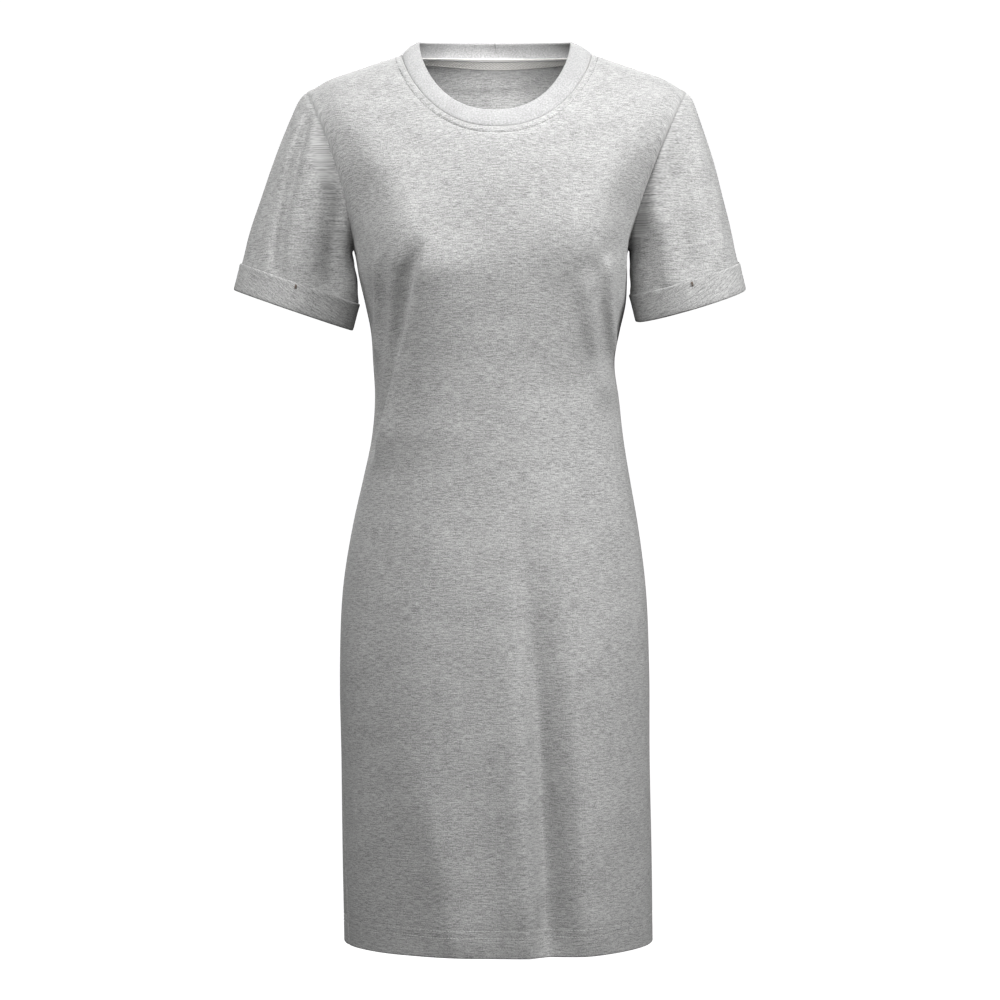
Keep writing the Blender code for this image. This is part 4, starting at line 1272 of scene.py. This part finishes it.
class DRESS_OT_stitching(bpy.types.Operator):
    """Add the two stitch rows below the neckband and above the hem"""
    bl_idname = "dress.stitching"
    bl_label = "Stitching"

    def execute(self, context):
        cloth = context.scene.dress_cloth
        form = shells()
        surface = np.concatenate([form.grids[side][form.first:].reshape(-1, 3)
                                  for side in (True, False)])
        normal = np.concatenate([form.calm[side][form.first:].reshape(-1, 3)
                                 for side in (True, False)])
        line = form.neckline
        along = np.roll(line, -1, axis=0) - np.roll(line, 1, axis=0)
        upward = snap(line, surface, normal)[1]
        away = unit(np.cross(upward, along))
        away = away * np.sign(np.sum(away * (line - line.mean(axis=0))))
        for number, distance in enumerate(NECK_ROWS):
            row, _ = snap(line + away * distance, surface, normal)
            centres, way = even_stops(row, cloth.stitch * STITCH_PITCH, True)
            centres, upward = snap(centres, surface, normal)
            # The upper row's light thread is the thread's own colour; the lower row's dark thread
            # is painted shade of its groove.
            piece = add_stitches("neck_stitches_" + "ab"[number], centres, way, upward,
                                 cloth.stitch, cloth.thread, material(("seam", "low")[number]))
        for number, height in enumerate(HEM_STITCHES):
            for front, name in ((True, "front"), (False, "back")):
                place = np.full(form.sines.shape, height / (UNDERARM_Z - HEM_Z))
                row = panel(front, form.sines, place)[1:-1]
                centres, way = even_stops(row, cloth.stitch * STITCH_PITCH, False)
                band = form.grids[front][:len(HEM_ROWS)].reshape(-1, 3)
                outward = form.calm[front][:len(HEM_ROWS)].reshape(-1, 3)
                centres, upward = snap(centres, band, outward)
                piece = add_stitches("hem_stitches_" + name + "_" + "ab"[number], centres, way,
                                     upward, cloth.stitch, cloth.thread, material("seam"))
        return {"FINISHED"}


class DRESS_OT_stage(bpy.types.Operator):
    """Add the pale floor, the soft light and the camera"""
    bl_idname = "dress.stage"
    bl_label = "Stage"

    def execute(self, context):
        scene = context.scene
        stage = scene.dress_stage
        self.add_floor(HEM_Z - stage.floor_drop)
        for name, place, aim, size, share, cone in LIGHTS:
            self.add_light(name, place, aim, size, stage.key * share, cone)
        world = bpy.data.worlds.new("even_light")
        world.use_nodes = True
        background = world.node_tree.nodes["Background"]
        background.inputs["Color"].default_value = (1.0, 1.0, 1.0, 1.0)
        background.inputs["Strength"].default_value = stage.sky
        scene.world = world
        lens = bpy.data.cameras.new("camera")
        lens.sensor_width = 36.0
        lens.lens = lens.sensor_width * CAMERA_AWAY
        lens.clip_end = 60.0
        camera = bpy.data.objects.new("camera", lens)
        camera.location = (CAMERA_X, -CAMERA_AWAY, CAMERA_Z)
        camera.rotation_euler = (math.pi / 2, 0.0, 0.0)
        scene.collection.objects.link(camera)
        scene.camera = camera
        scene.view_settings.view_transform = "Standard"
        scene.view_settings.look = "None"
        return {"FINISHED"}

    def add_floor(self, height):
        """A level floor that turns up into a round wall: a quarter circle at its edge."""
        flat, curl, wall, sides = 5.0, 1.5, 4.0, 64
        turn = np.linspace(0.0, math.pi / 2, 13)
        level = np.array([0.02, 1.5, 3.2])
        radius = np.concatenate([level, flat + curl * np.sin(turn), [flat + curl]])
        rise = np.concatenate([0.0 * level, curl * (1.0 - np.cos(turn)), [curl + wall]])
        angle = np.arange(sides) / sides * 2.0 * math.pi
        points = np.stack([radius[:, None] * np.cos(angle), radius[:, None] * np.sin(angle),
                           height + rise[:, None] + 0.0 * angle], axis=-1)
        index = closed(np.arange(points[..., 0].size).reshape(len(radius), sides), 1)
        faces = cells(index).tolist() + [list(range(sides - 1, -1, -1))]
        mesh = bpy.data.meshes.new("floor")
        mesh.from_pydata(points.reshape(-1, 3).tolist(), [], faces)
        mesh.shade_smooth()
        paint = bpy.data.materials.new("pale_floor")
        paint.use_nodes = True
        shader = paint.node_tree.nodes["Principled BSDF"]
        shader.inputs["Base Color"].default_value = (0.8, 0.8, 0.8, 1.0)
        shader.inputs["Roughness"].default_value = 1.0
        shader.inputs["Specular IOR Level"].default_value = 0.0
        shader.inputs["Emission Color"].default_value = (1.0, 1.0, 1.0, 1.0)
        shader.inputs["Emission Strength"].default_value = 0.95
        mesh.materials.append(paint)
        floor = bpy.data.objects.new("floor", mesh)
        floor.visible_diffuse = False
        floor.visible_glossy = False
        floor.visible_shadow = False
        bpy.context.scene.collection.objects.link(floor)

    def add_light(self, name, place, aim, size, power, cone):
        """A square soft light that looks at a point, or a soft-edged beam if it has a cone."""
        if cone:
            data = bpy.data.lights.new(name, "SPOT")
            data.spot_size = cone
            data.spot_blend = 0.7
            data.shadow_soft_size = size
        else:
            data = bpy.data.lights.new(name, "AREA")
            data.size = size
        data.energy = power
        light = bpy.data.objects.new(name, data)
        light.location = place
        light.visible_camera = False
        toward = np.array(aim) - np.array(place)
        flat = math.hypot(toward[0], toward[1])
        light.rotation_euler = (math.atan2(flat, -toward[2]), 0.0,
                                math.atan2(toward[1], toward[0]) - math.pi / 2)
        bpy.context.scene.collection.objects.link(light)


OPERATORS = (DRESS_OT_panels, DRESS_OT_sleeves, DRESS_OT_cuffs, DRESS_OT_neckband,
             DRESS_OT_neck_tape, DRESS_OT_stitching, DRESS_OT_stage)


class DRESS_PT_sidebar(bpy.types.Panel):
    """The dress's pieces and sizes in the 3D view's sidebar"""
    bl_idname = "DRESS_PT_sidebar"
    bl_label = "T-shirt dress"
    bl_space_type = "VIEW_3D"
    bl_region_type = "UI"
    bl_category = "Dress"

    def draw(self, context):
        for group in (context.scene.dress_cloth, context.scene.dress_stage):
            for name in group.__annotations__:
                self.layout.prop(group, name)
        for operator in OPERATORS:
            self.layout.operator(operator.bl_idname)


CLASSES = (DressCloth, DressStage) + OPERATORS + (DRESS_PT_sidebar,)


def register():
    for item in CLASSES:
        bpy.utils.register_class(item)
    bpy.types.Scene.dress_cloth = PointerProperty(type=DressCloth)
    bpy.types.Scene.dress_stage = PointerProperty(type=DressStage)


def unregister():
    del bpy.types.Scene.dress_stage
    del bpy.types.Scene.dress_cloth
    for item in reversed(CLASSES):
        bpy.utils.unregister_class(item)


def main():
    register()
    for operator in OPERATORS:
        group, name = operator.bl_idname.split(".")
        getattr(getattr(bpy.ops, group), name)()


if __name__ == "__main__":
    main()
